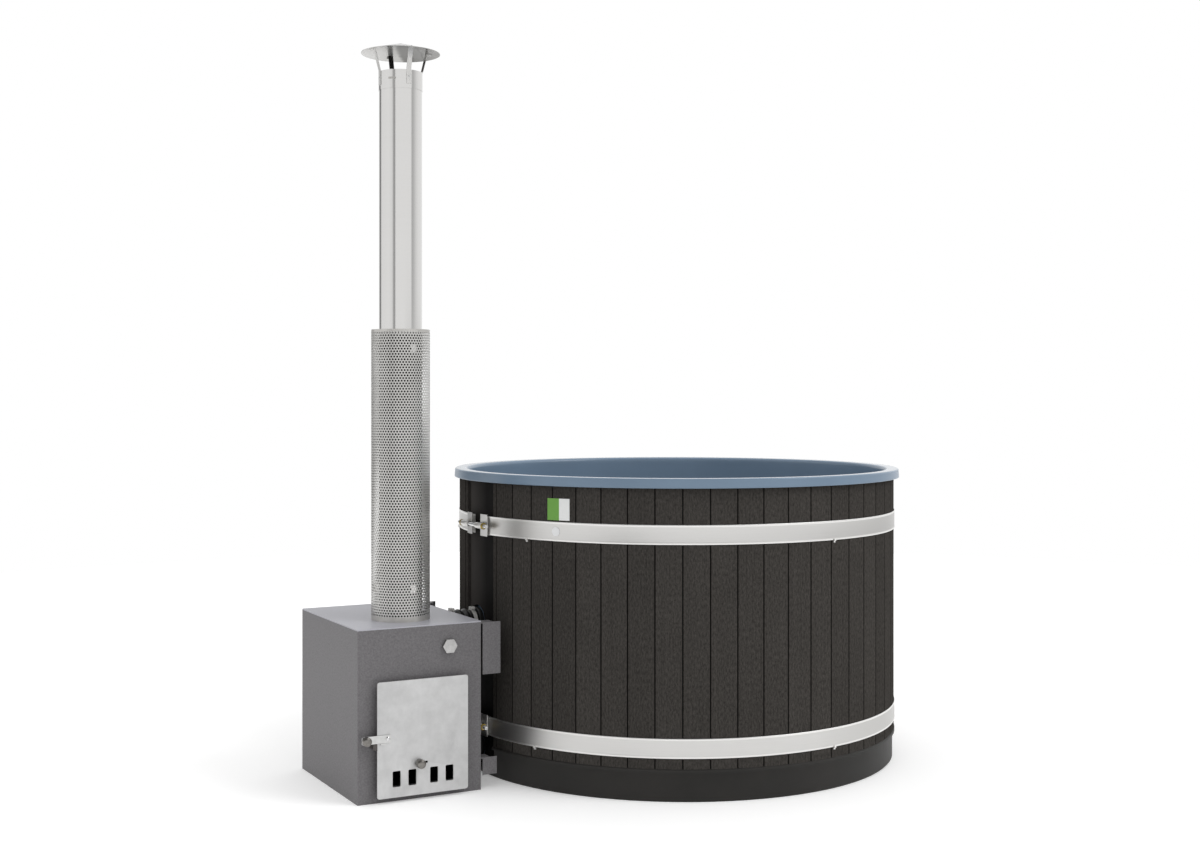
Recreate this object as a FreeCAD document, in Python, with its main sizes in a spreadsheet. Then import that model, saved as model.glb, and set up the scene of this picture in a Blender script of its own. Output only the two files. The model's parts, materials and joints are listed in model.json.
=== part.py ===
import FreeCAD, Part
import Sketcher
import math
import os

# Wood-fired hot tub with an outside stove, in millimetres, +Z up.
# The origin is on the floor under the middle of the tub, X runs along the stove front.

SIZES = [
    # tub shell
    ("rim_top", 1019.0, "top of the rim above the floor"),
    ("rim_overhang", 19.0, "rim beyond the board face"),
    ("rim_drop", 31.0, "height of the rim's outer skirt"),
    ("rim_round", 20.0, "rounding of the rim"),
    ("rim_skirt", 8.0, "thickness of the skirt and of the rim's top"),
    ("shell_wall", 8.0, "wall and floor of the moulded shell"),
    ("shell_clear", 3.0, "room between shell and boards, at the top"),
    ("shell_taper", 14.0, "draft of the shell wall over its height"),
    ("shell_corner", 12.0, "bevel between shell wall and floor"),
    ("floor_height", 25.0, "underside of the shell floor"),
    # bench
    ("bench_top", 520.0, "seat height above the ground"),
    ("bench_front", 440.0, "radius of the bench front"),
    ("bench_wall", 8.0, "thickness of the bench moulding"),
    ("bench_gap", 64.0, "open angle of the bench at the water fittings"),
    ("bench_clear", 1.0, "gap between bench and shell wall"),
    # drain
    ("drain_radius", 45.0, "flange of the floor drain"),
    ("drain_throat", 28.0, "outside of the drain's tail"),
    ("drain_flange", 4.0, "thickness of the flange"),
    ("drain_tail", 12.0, "tail below the shell floor"),
    # base pan
    ("plinth_setback", 5.0, "base pan behind the board face"),
    ("plinth_height", 105.0, "top of the base pan, where the boards stand"),
    ("plinth_wall", 20.0, "wall of the base pan"),
    ("plinth_lip", 8.0, "how far the lip stands out"),
    ("lip_height", 15.0, "height of the lip"),
    ("pan_floor", 6.0, "floor of the base pan"),
    ("ring_width", 20.0, "width of the rings that carry the shell"),
    ("ring_setback", 31.0, "outer carrying ring, in from the edge of the shell floor"),
    ("ring_step", 230.0, "from the outer to the middle carrying ring"),
    ("ring_inner_step", 250.0, "from the middle to the inner carrying ring"),
    # cladding
    ("tub_radius", 780.0, "outer face of the boards"),
    ("board_thickness", 20.0, "board thickness"),
    ("board_top_clear", 8.0, "room above the boards, inside the rim"),
    ("board_gap", 0.8, "seam between two boards"),
    ("board_chamfer", 2.0, "chamfer along the outer edges"),
    ("pitch_count", 56, "board pitches round the tub"),
    ("channel_pitches", 3, "pitches taken by the hose channel"),
    ("channel_angle", 179.4, "direction of the hose channel"),
    ("jamb_width", 23.0, "strip on each side of the channel"),
    ("panel_depth", 19.5, "panel behind the board face"),
    ("panel_thickness", 3.0, "channel panel"),
    ("panel_clear", 3.0, "gap between panel and strips"),
    ("panel_hole", 58.0, "radius of a hole in the panel, round a lock nut"),
    # hoops
    ("hoop_clear", 1.4, "room between board face and hoop"),
    ("hoop_thickness", 2.0, "hoop steel"),
    ("hoop_height", 63.0, "hoop width"),
    ("lower_hoop_z", 138.5, "underside of the lower hoop"),
    ("upper_hoop_z", 810.0, "underside of the upper hoop"),
    ("tension_y", 2.0, "middle of the tensioners"),
    ("lug_gap", 48.0, "gap between the two ends of a hoop"),
    ("lug_setback", 10.0, "lug behind the end of its hoop"),
    ("lug_width", 47.0, "width of a lug"),
    ("lug_height", 73.0, "height of a lug"),
    ("lug_thickness", 6.5, "thickness of a lug"),
    ("sleeve_radius", 11.0, "outside of a sleeve"),
    ("sleeve_length", 58.0, "length of a sleeve"),
    ("sleeve_standoff", 12.5, "sleeve axis in front of the lug"),
    ("saddle_height", 12.0, "web between lug and sleeve"),
    ("rod_radius", 6.0, "tension rod"),
    ("rod_clear", 0.2, "room of the rod in a sleeve"),
    ("rod_tip", 13.0, "rod beyond the nut"),
    ("nut_flats", 19.0, "nut across flats"),
    ("nut_height", 10.0, "nut height"),
    ("washer_radius", 12.0, "washer under the nut"),
    ("washer_height", 2.0, "washer thickness"),
    ("hook_width", 8.0, "width of a hoop hook"),
    ("hook_sheet", 2.5, "thickness of a hoop hook"),
    ("hook_drop", 8.0, "foot of a hook below the hoop"),
    ("hook_lip", 5.0, "lip of a hook in front of the hoop"),
    # water fittings and hoses
    ("hose_y", 52.0, "water connections, sideways"),
    ("upper_hose_z", 502.0, "axis of the upper hose"),
    ("lower_hose_z", 80.0, "axis of the lower hose"),
    ("pad_radius", 46.0, "flat pad on the shell wall"),
    ("pad_depth", 34.0, "depth of the pad"),
    ("pipe_radius", 33.0, "outside of the water pipes"),
    ("pipe_wall", 5.0, "wall of the water pipes"),
    ("pipe_clear", 0.4, "room round a pipe in its holes"),
    ("flange_radius", 42.0, "flange of a tub fitting"),
    ("flange_thickness", 6.0, "thickness of that flange"),
    ("locknut_radius", 50.0, "lock nut outside"),
    ("locknut_length", 14.0, "lock nut length"),
    ("cuff_length", 27.0, "plain end of a hose"),
    ("cuff_wall", 8.6, "hose wall at a plain end"),
    ("rib_count", 2, "ribs of a hose"),
    ("rib_wall", 13.6, "hose wall at a rib"),
    ("valley_wall", 6.6, "hose wall between the ribs"),
    ("clamp_width", 15.0, "width of a clamp band"),
    ("clamp_band", 1.2, "thickness of a clamp band"),
    ("clamp_block", 15.0, "height of the clamp's bolt block"),
    ("clamp_bolt", 4.0, "radius of the clamp bolt"),
    ("clamp_bolt_length", 46.0, "length of the clamp bolt"),
]

SIZES += [
    # stove
    ("stove_gap", 94.0, "stove beside the board face"),
    ("stove_width", 420.0, "width of the stove"),
    ("stove_depth", 554.0, "depth of the stove"),
    ("stove_height", 548.0, "height of the stove"),
    ("casing_sheet", 4.0, "steel of the casing"),
    ("jacket", 36.0, "water space round the firebox"),
    ("firebox_wall", 5.0, "steel of the firebox"),
    ("firebox_floor", 20.0, "underside of the firebox"),
    ("rail_size", 24.0, "grate rail"),
    ("rail_height", 91.0, "top of the rails above the firebox floor"),
    ("grate_thickness", 12.0, "fire grate"),
    ("grate_clear", 4.0, "gap between grate and firebox"),
    ("grate_slot", 12.0, "width of a grate slot"),
    ("grate_pitch", 34.0, "from slot to slot"),
    ("grate_border", 30.0, "solid border of the grate"),
    ("plug_x", 308.0, "hex plug from the left side"),
    ("plug_z", 476.0, "hex plug height"),
    ("plug_flats", 43.0, "hex plug across flats"),
    ("plug_length", 13.0, "hex plug in front of the stove"),
    # hose guards
    ("guard_gap", 7.0, "hose guard to stove side"),
    ("guard_sheet", 3.0, "sheet of the hose guards"),
    ("guard_flange", 45.0, "depth of the top flange"),
    ("flange_short", 23.0, "top flange ends before the plate"),
    ("upper_guard_width", 63.0, "width of the upper guards"),
    ("upper_guard_bottom", 373.0, "underside of the upper guards"),
    ("upper_guard_top", 542.0, "top of the upper guards"),
    ("lower_guard_width", 50.0, "width of the lower guards"),
    ("lower_guard_bottom", 47.0, "underside of the lower guards"),
    ("lower_guard_top", 103.0, "top of the lower guards"),
    # flue
    ("flue_y", 172.0, "flue axis behind the front"),
    ("flue_radius", 70.0, "outside of the flue pipe"),
    ("flue_wall", 1.5, "steel of the flue pipe"),
    ("flue_top", 2335.0, "top of the flue pipe"),
    ("spigot_wall", 4.0, "wall of the flue spigot"),
    ("spigot_height", 60.0, "spigot above the stove"),
    ("spigot_clear", 0.4, "room between spigot and flue"),
    ("screen_radius", 95.5, "outside of the heat guard"),
    ("screen_wall", 1.5, "steel of the heat guard"),
    ("screen_top", 1494.0, "top of the heat guard"),
    ("spacer_height", 25.0, "height of a spacer"),
    ("spacer_width", 18.0, "width of a spacer"),
    ("spacer_low", 640.0, "lower row of spacers"),
    ("spacer_high", 1420.0, "upper row of spacers"),
    ("collar_height", 60.0, "collar of the rain hat"),
    ("collar_wall", 1.6, "steel of the collar"),
    ("leg_width", 16.0, "width of a hat leg"),
    ("leg_sheet", 2.0, "steel of a hat leg"),
    ("leg_foot", 46.0, "leg below the top of the collar"),
    ("leg_splay", 18.0, "how far a leg leans out"),
    ("leg_tab", 16.0, "tab of a leg under the hat"),
    ("hat_radius", 128.5, "rim of the rain hat"),
    ("hat_gap", 62.0, "hat rim above the flue"),
    ("hat_rise", 34.5, "height of the cone"),
    ("hat_sheet", 1.5, "steel of the rain hat"),
    ("rivet_radius", 3.0, "hat rivets"),
    ("rivet_head", 1.5, "height of a rivet head"),
    # door
    ("door_bottom", 17.5, "underside of the door"),
    ("door_width", 308.0, "width of the door plate"),
    ("door_height", 365.0, "height of the door plate"),
    ("door_standoff", 25.0, "door face in front of the stove"),
    ("door_plate", 4.0, "door plate"),
    ("door_corner", 8.0, "corner radius of the door plate"),
    ("frame_inset", 17.0, "frame inside the edge of the plate"),
    ("frame_wall", 4.0, "frame steel"),
    ("opening_inset", 30.0, "stove opening inside the edge of the plate"),
    ("seal_width", 12.0, "rope seal width"),
    ("seal_depth", 3.5, "rope seal depth"),
    ("seal_clear", 0.4, "room between seal and stove"),
    ("baffle_bottom", 160.0, "underside of the baffle"),
    ("baffle_sheet", 3.0, "baffle steel"),
    ("vent_width", 27.0, "air vent width"),
    ("vent_height", 50.0, "air vent height"),
    ("vent_bottom", 50.0, "underside of the vents"),
    ("vent_corner", 4.0, "vent corner radius"),
    ("vent_inner", 36.8, "inner vents from the middle of the door"),
    ("vent_outer", 89.8, "outer vents from the middle of the door"),
    # damper
    ("damper_travel", 26.5, "travel from open to shut"),
    ("damper_sheet", 2.0, "damper steel"),
    ("damper_clear", 0.4, "room round the damper"),
    ("damper_edge", 5.0, "damper below the vents"),
    ("damper_head", 9.0, "damper above the knob"),
    ("damper_window", 25.0, "window in the damper"),
    ("damper_cover", 1.0, "overlap of the shut damper"),
    ("knob_x", 15.0, "damper knob left of the middle"),
    ("knob_z", 118.0, "height of the damper knob"),
    ("knob_stem", 3.0, "radius of its stem"),
    ("slot_clear", 1.0, "room of the stem at the slot ends"),
    ("slot_height", 7.2, "height of the knob slot"),
    ("knob_radius", 14.5, "damper knob"),
    ("knob_neck", 4.0, "stem in front of the door"),
    ("knob_length", 26.0, "length of the knob"),
    ("guide_lip", 4.0, "lip of a damper guide"),
    ("guide_sheet", 3.0, "guide steel"),
    # latch
    ("latch_x", 33.5, "latch pivot from the left edge of the door"),
    ("latch_z", 205.5, "height of the latch pivot"),
    ("lever_left", 85.1, "lever left of the pivot"),
    ("lever_right", 10.5, "lever right of the pivot"),
    ("lever_height", 25.0, "height of the lever"),
    ("lever_sheet", 4.0, "lever steel"),
    ("lever_clear", 0.5, "room between lever and door"),
    ("rivet_shank", 4.0, "latch rivet shank"),
    ("rivet_cap", 6.5, "latch rivet head"),
    ("rivet_rise", 3.0, "height of that head"),
    ("running", 0.06, "running clearance of a pivot"),
    ("ball_x", 73.5, "latch knob left of the pivot"),
    ("ball_radius", 15.0, "latch knob"),
    ("ball_length", 22.0, "latch knob in front of the lever"),
    ("tab_right", 8.2, "stop tab left of the latch pivot"),
    ("tab_width", 16.3, "stop tab width"),
    ("tab_height", 4.7, "stop tab height"),
    ("tab_length", 5.5, "stop tab in front of the door"),
    ("rest_clear", 0.3, "room under the resting lever"),
    ("keeper_gap", 2.0, "latch keeper left of the door"),
    ("keeper_width", 14.0, "latch keeper width"),
    ("keeper_reach", 31.0, "latch keeper in front of the stove"),
    ("keeper_sheet", 3.0, "latch keeper steel"),
    ("keeper_drop", 18.7, "down-turned ends of the keeper"),
    # hinge
    ("hinge_x", 5.0, "hinge axis inside the right edge of the door"),
    ("hinge_y", 12.0, "hinge axis in front of the stove"),
    ("hinge_pin", 4.0, "radius of a hinge pin"),
    ("hinge_barrel", 8.0, "radius of a hinge barrel"),
    ("hinge_low", 60.0, "lower hinge above the underside of the door"),
    ("hinge_high", 270.0, "upper hinge above the underside of the door"),
    ("ear_height", 24.0, "ear on the stove"),
    ("knuckle_height", 32.0, "knuckle on the door"),
    ("hinge_clear", 0.3, "room between ear and knuckle"),
    ("hinge_side", 4.0, "ear beside the hinge axis"),
]

doc = FreeCAD.newDocument("WoodFiredTub")
sheet = doc.addObject("Spreadsheet::Sheet", "Sizes")


class Size:
    """A size that keeps its formula over the sheet beside its number."""

    def __init__(self, text, number):
        self.text = text
        self.number = float(number)

    def __float__(self):
        return self.number

    def __add__(self, other):
        other = sized(other)
        return Size("(" + self.text + " + " + other.text + ")", self.number + other.number)

    def __sub__(self, other):
        other = sized(other)
        return Size("(" + self.text + " - " + other.text + ")", self.number - other.number)

    def __mul__(self, other):
        other = sized(other)
        return Size("(" + self.text + " * " + other.text + ")", self.number * other.number)

    def __truediv__(self, other):
        other = sized(other)
        return Size("(" + self.text + " / " + other.text + ")", self.number / other.number)

    def __neg__(self):
        return Size("(0 - " + self.text + ")", -self.number)


def sized(value):
    if isinstance(value, Size):
        return value
    return Size("(" + repr(float(value)) + ")", value)


class Table:
    """The sheet's cells by name."""


S = Table()
for row, (alias, value, note) in enumerate(SIZES, start=1):
    sheet.set("A" + str(row), str(value))
    sheet.setAlias("A" + str(row), alias)
    sheet.set("B" + str(row), "'" + note)
    setattr(S, alias, Size("Sizes." + alias, value))
doc.recompute()

nodes = {}


def node(name, obj):
    obj.Label = name
    nodes[name] = obj
    return obj


def bind(obj, prop, value):
    obj.setExpression(prop, sized(value).text)


def put(obj, x, y, z):
    bind(obj, "Placement.Base.x", x)
    bind(obj, "Placement.Base.y", y)
    bind(obj, "Placement.Base.z", z)
    return obj


def box(name, x, y, z):
    """A box from the low and high value on each axis."""
    obj = doc.addObject("Part::Box", name)
    for prop, (low, high) in (("Length", x), ("Width", y), ("Height", z)):
        bind(obj, prop, sized(high) - low)
    return put(obj, x[0], y[0], z[0])


TURNS = {
    "Z": FreeCAD.Rotation(),
    "X": FreeCAD.Rotation(FreeCAD.Vector(0, 1, 0), 90),
    "Y": FreeCAD.Rotation(FreeCAD.Vector(1, 0, 0), -90),
}


def along(obj, axis, low, place):
    """Lay an upright primitive along an axis; place is on the two other axes."""
    obj.Placement = FreeCAD.Placement(FreeCAD.Vector(), TURNS[axis])
    if axis == "Z":
        return put(obj, place[0], place[1], low)
    if axis == "X":
        return put(obj, low, place[0], place[1])
    return put(obj, place[0], low, place[1])


def rod(name, axis, radius, span, place):
    obj = doc.addObject("Part::Cylinder", name)
    bind(obj, "Radius", radius)
    bind(obj, "Height", sized(span[1]) - span[0])
    return along(obj, axis, span[0], place)


def hexagon(name, axis, flats, span, place):
    obj = doc.addObject("Part::Prism", name)
    obj.Polygon = 6
    bind(obj, "Circumradius", sized(flats) / math.sqrt(3))
    bind(obj, "Height", sized(span[1]) - span[0])
    return along(obj, axis, span[0], place)


def fuse(name, parts):
    obj = doc.addObject("Part::MultiFuse", name)
    obj.Shapes = parts
    return obj


def cut(name, base, tools):
    obj = doc.addObject("Part::Cut", name)
    obj.Base = base
    obj.Tool = tools[0] if len(tools) == 1 else fuse(name + "_tools", tools)
    return obj


def group(name, parts):
    obj = doc.addObject("Part::Compound", name)
    obj.Links = parts
    return obj


def tube(name, axis, outer, inner, span, place):
    shell = rod(name + "_outer", axis, outer, span, place)
    bore = rod(name + "_bore", axis, inner, (sized(span[0]) - 1, sized(span[1]) + 1), place)
    return cut(name, shell, [bore])


def plane(body, role):
    for feature in body.Origin.OriginFeatures:
        if feature.Role == role:
            return feature


def profile(body, name, role, *loops):
    """A sketch of closed loops whose corners are bound to the sheet; no coordinate is below zero."""
    sketch = body.newObject("Sketcher::SketchObject", name)
    sketch.AttachmentSupport = [(plane(body, role), "")]
    sketch.MapMode = "FlatFace"
    first = 0
    for loop in loops:
        points = [(sized(a), sized(b)) for a, b in loop]
        corners = [FreeCAD.Vector(float(a), float(b), 0) for a, b in points]
        count = len(points)
        for k in range(count):
            sketch.addGeometry(Part.LineSegment(corners[k], corners[(k + 1) % count]), False)
        for k in range(count):
            after = first + (k + 1) % count
            sketch.addConstraint(Sketcher.Constraint("Coincident", first + k, 2, after, 1))
        for k, (a, b) in enumerate(points):
            for kind, value, axis in (("DistanceX", a, -2), ("DistanceY", b, -1)):
                if abs(float(value)) < 1e-9:
                    sketch.addConstraint(Sketcher.Constraint("PointOnObject", first + k, 1, axis))
                    continue
                at = sketch.addConstraint(Sketcher.Constraint(kind, -1, 1, first + k, 1, float(value)))
                sketch.setExpression("Constraints[" + str(at) + "]", value.text)
        first += count
    return sketch


def revolved(name, axis, points, place=(0, 0, 0), angle=360):
    """Turn a profile of (along, radius) pairs; the profile of a Z turn is (radius, height)."""
    body = doc.addObject("PartDesign::Body", name)
    role = {"Z": "XZ_Plane", "X": "XZ_Plane", "Y": "YZ_Plane"}[axis]
    sketch = profile(body, name + "_profile", role, points)
    turn = body.newObject("PartDesign::Revolution", name + "_turn")
    turn.Profile = sketch
    turn.ReferenceAxis = (sketch, ["V_Axis" if axis == "Z" else "H_Axis"])
    if float(angle) == 360:
        turn.Angle = 360
    else:
        bind(turn, "Angle", angle)
    body.Tip = turn
    return put(body, *place)


def shaped(name, shape):
    obj = doc.addObject("Part::Feature", name)
    obj.Shape = shape
    return obj


def turned(obj, angle):
    """Turn an object about the vertical through its own origin."""
    obj.Placement = FreeCAD.Placement(obj.Placement.Base, FreeCAD.Rotation(FreeCAD.Vector(0, 0, 1), 45))
    bind(obj, "Placement.Rotation.Angle", angle)
    return obj


def sine(angle):
    return Size("sin(" + angle.text + " * 1 deg)", math.sin(math.radians(angle.number)))


# Places that several pieces share
rim_r = S.tub_radius + S.rim_overhang
shell_r = S.tub_radius - S.board_thickness - S.shell_clear
plinth_r = S.tub_radius - S.plinth_setback
board_top = S.rim_top - S.rim_skirt - S.board_top_clear
inside_floor = S.floor_height + S.shell_wall
foot_r = shell_r - S.shell_taper
bend_z = inside_floor + S.shell_corner
wall_top = S.rim_top - S.rim_round * 1.2
panel_face = S.tub_radius - S.panel_depth
hoop_r = S.tub_radius + S.hoop_clear + S.hoop_thickness
stove_right = -(S.tub_radius + S.stove_gap)
stove_left = stove_right - S.stove_width
stove_mid = stove_right - S.stove_width / 2
stove_front = S.hose_y - S.stove_depth / 2
stove_back = S.hose_y + S.stove_depth / 2

# Tub shell: a floor, a tapered wall and a rolled rim, welded together, with two flat pads for the fittings
top = S.rim_top
wall_low = S.floor_height + S.shell_corner
wall_out = foot_r + S.shell_taper * (wall_top - wall_low) / (top - S.rim_skirt - wall_low)
disc = revolved("floor_disc", "Z", [
    (0, S.floor_height),
    (foot_r - S.shell_corner, S.floor_height),
    (foot_r, wall_low),
    (foot_r - S.shell_wall, bend_z),
    (foot_r - S.shell_wall - S.shell_corner, inside_floor),
    (0, inside_floor),
])
drain_hole = rod("drain_hole", "Z", S.drain_throat + S.pipe_clear, (0, bend_z), (0, 0))
node("tub_floor", cut("floor_cut", disc, [drain_hole]))
wall = revolved("shell_side", "Z", [
    (foot_r, wall_low),
    (wall_out, wall_top),
    (shell_r - S.shell_wall, wall_top),
    (foot_r - S.shell_wall, bend_z),
])
hose_rows = (("upper", S.upper_hose_z), ("lower", S.lower_hose_z))
pads = []
bores = []
for side, z in hose_rows:
    pads.append(rod(side + "_pad", "X", S.pad_radius, (-shell_r, S.pad_depth - shell_r), (S.hose_y, z)))
    bores.append(rod(side + "_bore", "X", S.pipe_radius + S.pipe_clear,
                     (-rim_r, S.pad_depth * 2 - shell_r), (S.hose_y, z)))
node("tub_wall", cut("wall_cut", fuse("wall_fuse", [wall] + pads), bores + [disc]))
node("tub_rim", revolved("rolled_rim", "Z", [
    (wall_out, wall_top),
    (shell_r, top - S.rim_skirt),
    (rim_r - S.rim_skirt, top - S.rim_skirt),
    (rim_r - S.rim_skirt, top - S.rim_drop),
    (rim_r - S.rim_round * 0.1, top - S.rim_drop),
    (rim_r, top - S.rim_drop + S.rim_round * 0.15),
    (rim_r - S.rim_round * 0.05, top - S.rim_round * 0.65),
    (rim_r - S.rim_round * 0.25, top - S.rim_round * 0.25),
    (rim_r - S.rim_round * 0.6, top - S.rim_round * 0.06),
    (rim_r - S.rim_round, top),
    (shell_r + S.rim_round * 0.3, top - S.rim_round * 0.04),
    (shell_r - S.rim_round * 0.05, top - S.rim_round * 0.25),
    (shell_r - S.rim_round * 0.25, top - S.rim_round * 0.6),
    (shell_r - S.shell_wall, wall_top),
]))

# Bench: a C-shaped moulding, hollow underneath, open where the water fittings are
bench_r = foot_r - S.shell_wall - S.bench_clear
bench_lean = S.shell_taper * (S.bench_top - bend_z) / (wall_top - bend_z)
bench_turn = S.bench_gap / 2 + 180
bench_end = S.bench_wall / S.bench_front * (180 / math.pi)
bench_solid = turned(revolved("bench_solid", "Z", [
    (S.bench_front, inside_floor),
    (bench_r - S.shell_corner, inside_floor),
    (bench_r, bend_z),
    (bench_r + bench_lean, S.bench_top),
    (S.bench_front, S.bench_top),
], angle=sized(360) - S.bench_gap), bench_turn)
bench_void = turned(revolved("bench_void", "Z", [
    (S.bench_front + S.bench_wall, S.floor_height),
    (rim_r, S.floor_height),
    (rim_r, S.bench_top - S.bench_wall),
    (S.bench_front + S.bench_wall, S.bench_top - S.bench_wall),
], angle=sized(360) - S.bench_gap - bench_end * 2), bench_turn + bench_end)
node("bench_insert", cut("bench_cut", bench_solid, [bench_void]))

# Drain: a flanged strainer in the floor
drain_in = S.drain_throat - S.drain_flange
drain = revolved("drain", "Z", [
    (0, inside_floor),
    (drain_in, inside_floor),
    (drain_in, S.floor_height - S.drain_tail),
    (S.drain_throat, S.floor_height - S.drain_tail),
    (S.drain_throat, inside_floor),
    (S.drain_radius, inside_floor),
    (S.drain_radius, inside_floor + S.drain_flange * 0.5),
    (S.drain_radius - S.drain_flange * 0.5, inside_floor + S.drain_flange),
    (0, inside_floor + S.drain_flange),
])
strain = []
for k in range(6):
    x = drain_in * (0.6 * math.cos(math.radians(60 * k)))
    y = drain_in * (0.6 * math.sin(math.radians(60 * k)))
    strain.append(rod("strain_" + str(k), "Z", drain_in * 0.2, (S.floor_height, bend_z), (x, y)))
node("drain_strainer", cut("drain_cut", drain, strain))

# Base pan: stands flat on the ground, carries the shell on three rings and the boards on its lip
inner_r = plinth_r - S.plinth_wall
pan_points = [
    (0, 0),
    (plinth_r - S.pan_floor, 0),
    (plinth_r, S.pan_floor),
    (plinth_r, S.plinth_height - S.lip_height),
    (plinth_r + S.plinth_lip, S.plinth_height - S.lip_height * 0.75),
    (plinth_r + S.plinth_lip, S.plinth_height - S.lip_height * 0.2),
    (plinth_r + S.plinth_lip * 0.6, S.plinth_height),
    (inner_r, S.plinth_height),
    (inner_r, S.pan_floor),
]
ring_outer = foot_r - S.shell_corner - S.ring_setback - S.ring_width
ring_middle = ring_outer - S.ring_step
for ring in (ring_outer, ring_middle, ring_middle - S.ring_inner_step):
    pan_points += [
        (ring + S.ring_width, S.pan_floor),
        (ring + S.ring_width, S.floor_height),
        (ring, S.floor_height),
        (ring, S.pan_floor),
    ]
pan_points.append((0, S.pan_floor))
pan = revolved("pan", "Z", pan_points)
half_channel = S.channel_pitches * 180 / S.pitch_count
channel_y = S.tub_radius * sine(S.channel_angle)
panel_half = S.tub_radius * sine(half_channel) - S.jamb_width - S.panel_clear
notch_half = panel_half + S.panel_clear * 0.5
notch = box("notch", (-rim_r, -(inner_r - S.plinth_wall)), (channel_y - notch_half, channel_y + notch_half),
            (S.floor_height, S.plinth_height + S.lip_height))
node("base_plinth", cut("pan_cut", pan, [notch]))

# Cladding: bevelled boards on edge, and two narrow strips beside the channel
pitch = 360.0 / float(S.pitch_count)


def plank(angle, half):
    """One upright board with radial sides, half its angle to each side."""
    low = float(S.tub_radius) - float(S.board_thickness)
    high = float(S.tub_radius)
    chamfer = float(S.board_chamfer)
    slope = math.tan(math.radians(half))
    gap = float(S.board_gap) / 2
    outline = [
        (low, low * slope - gap),
        (high - chamfer, (high - chamfer) * slope - gap),
        (high, high * slope - gap - chamfer),
    ]
    outline += [(r, -side) for r, side in reversed(outline)]
    bottom = float(S.plinth_height)
    corners = [FreeCAD.Vector(r, side, bottom) for r, side in outline]
    face = Part.Face(Part.makePolygon(corners + corners[:1]))
    solid = face.extrude(FreeCAD.Vector(0, 0, float(board_top) - bottom))
    solid.rotate(FreeCAD.Vector(), FreeCAD.Vector(0, 0, 1), angle)
    return solid


boards = []
for k in range(int(float(S.pitch_count) - float(S.channel_pitches))):
    boards.append(plank(float(S.channel_angle) + float(half_channel) + (k + 0.5) * pitch, pitch / 2))
node("cladding_boards", shaped("boards", Part.makeCompound(boards)))
jamb_half = math.degrees(math.asin(float(S.jamb_width) / 2 / float(S.tub_radius)))
jambs = []
for side in (-1, 1):
    jambs.append(plank(float(S.channel_angle) + side * (float(half_channel) - jamb_half), jamb_half))
node("channel_jambs", shaped("jambs", Part.makeCompound(jambs)))
panel = box("panel", (-panel_face, S.panel_thickness - panel_face),
            (channel_y - panel_half, channel_y + panel_half), (S.floor_height, board_top))
holes = []
for side, z in hose_rows:
    holes.append(rod(side + "_panel_hole", "X", S.panel_hole, (-rim_r, -shell_r), (S.hose_y, z)))
node("connection_panel", cut("panel_cut", panel, holes))

# Hoops and their tensioners
sleeve_x = -(hoop_r + S.lug_thickness + S.sleeve_standoff)
lug_mid = S.lug_gap / 2 + S.lug_setback + S.lug_width / 2
rod_half = lug_mid + S.sleeve_length / 2 + S.washer_height + S.nut_height + S.rod_tip
hoop_rows = (("upper", S.upper_hoop_z), ("lower", S.lower_hoop_z))
lugs = []
rods = []
nuts = []
for row, z in hoop_rows:
    mid = z + S.hoop_height / 2
    ring = tube(row + "_ring", "Z", hoop_r, hoop_r - S.hoop_thickness, (z, z + S.hoop_height), (0, 0))
    gap = box(row + "_gap", (-rim_r, -(inner_r - S.plinth_wall)),
              (S.tension_y - S.lug_gap / 2, S.tension_y + S.lug_gap / 2), (z - 1, z + S.hoop_height + 1))
    node(row + "_hoop", cut(row + "_hoop_cut", ring, [gap]))
    rods.append(rod(row + "_rod", "Y", S.rod_radius, (S.tension_y - rod_half, S.tension_y + rod_half),
                    (sleeve_x, mid)))
    for side, sign in (("left", -1), ("right", 1)):
        name = row + "_" + side
        y = S.tension_y + lug_mid * sign
        span = (mid - S.lug_height / 2, mid + S.lug_height / 2)
        blank = tube(name + "_blank", "Z", hoop_r + S.lug_thickness, hoop_r, span, (0, 0))
        window = box(name + "_window", (-rim_r, -(inner_r - S.plinth_wall)),
                     (y - S.lug_width / 2, y + S.lug_width / 2), span)
        plate = doc.addObject("Part::Common", name + "_plate")
        plate.Base = blank
        plate.Tool = window
        web = box(name + "_web", (sleeve_x, S.hoop_thickness * 0.2 - hoop_r),
                  (y - S.lug_width * 0.36, y + S.lug_width * 0.36),
                  (mid - S.saddle_height / 2, mid + S.saddle_height / 2))
        sleeve = rod(name + "_sleeve", "Y", S.sleeve_radius,
                     (y - S.sleeve_length / 2, y + S.sleeve_length / 2), (sleeve_x, mid))
        drill = rod(name + "_drill", "Y", S.rod_radius + S.rod_clear,
                    (y - S.sleeve_length, y + S.sleeve_length), (sleeve_x, mid))
        lugs.append(cut(name + "_lug", fuse(name + "_weld", [plate, web, sleeve]), [drill]))
        face = y + S.sleeve_length / 2 * sign
        seat = face + S.washer_height * sign
        end = seat + S.nut_height * sign
        washer = rod(name + "_washer", "Y", S.washer_radius,
                     (face, seat) if sign > 0 else (seat, face), (sleeve_x, mid))
        nut = hexagon(name + "_nut", "Y", S.nut_flats, (seat, end) if sign > 0 else (end, seat),
                      (sleeve_x, mid))
        thread = rod(name + "_thread", "Y", S.rod_radius,
                     (y - S.sleeve_length, y + S.sleeve_length), (sleeve_x, mid))
        nuts.append(cut(name + "_nut_cut", fuse(name + "_nut_fuse", [washer, nut]), [thread]))
node("hoop_lugs", group("lug_group", lugs))
node("tension_rods", group("rod_group", rods))
node("tension_nuts", group("nut_group", nuts))

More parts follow.
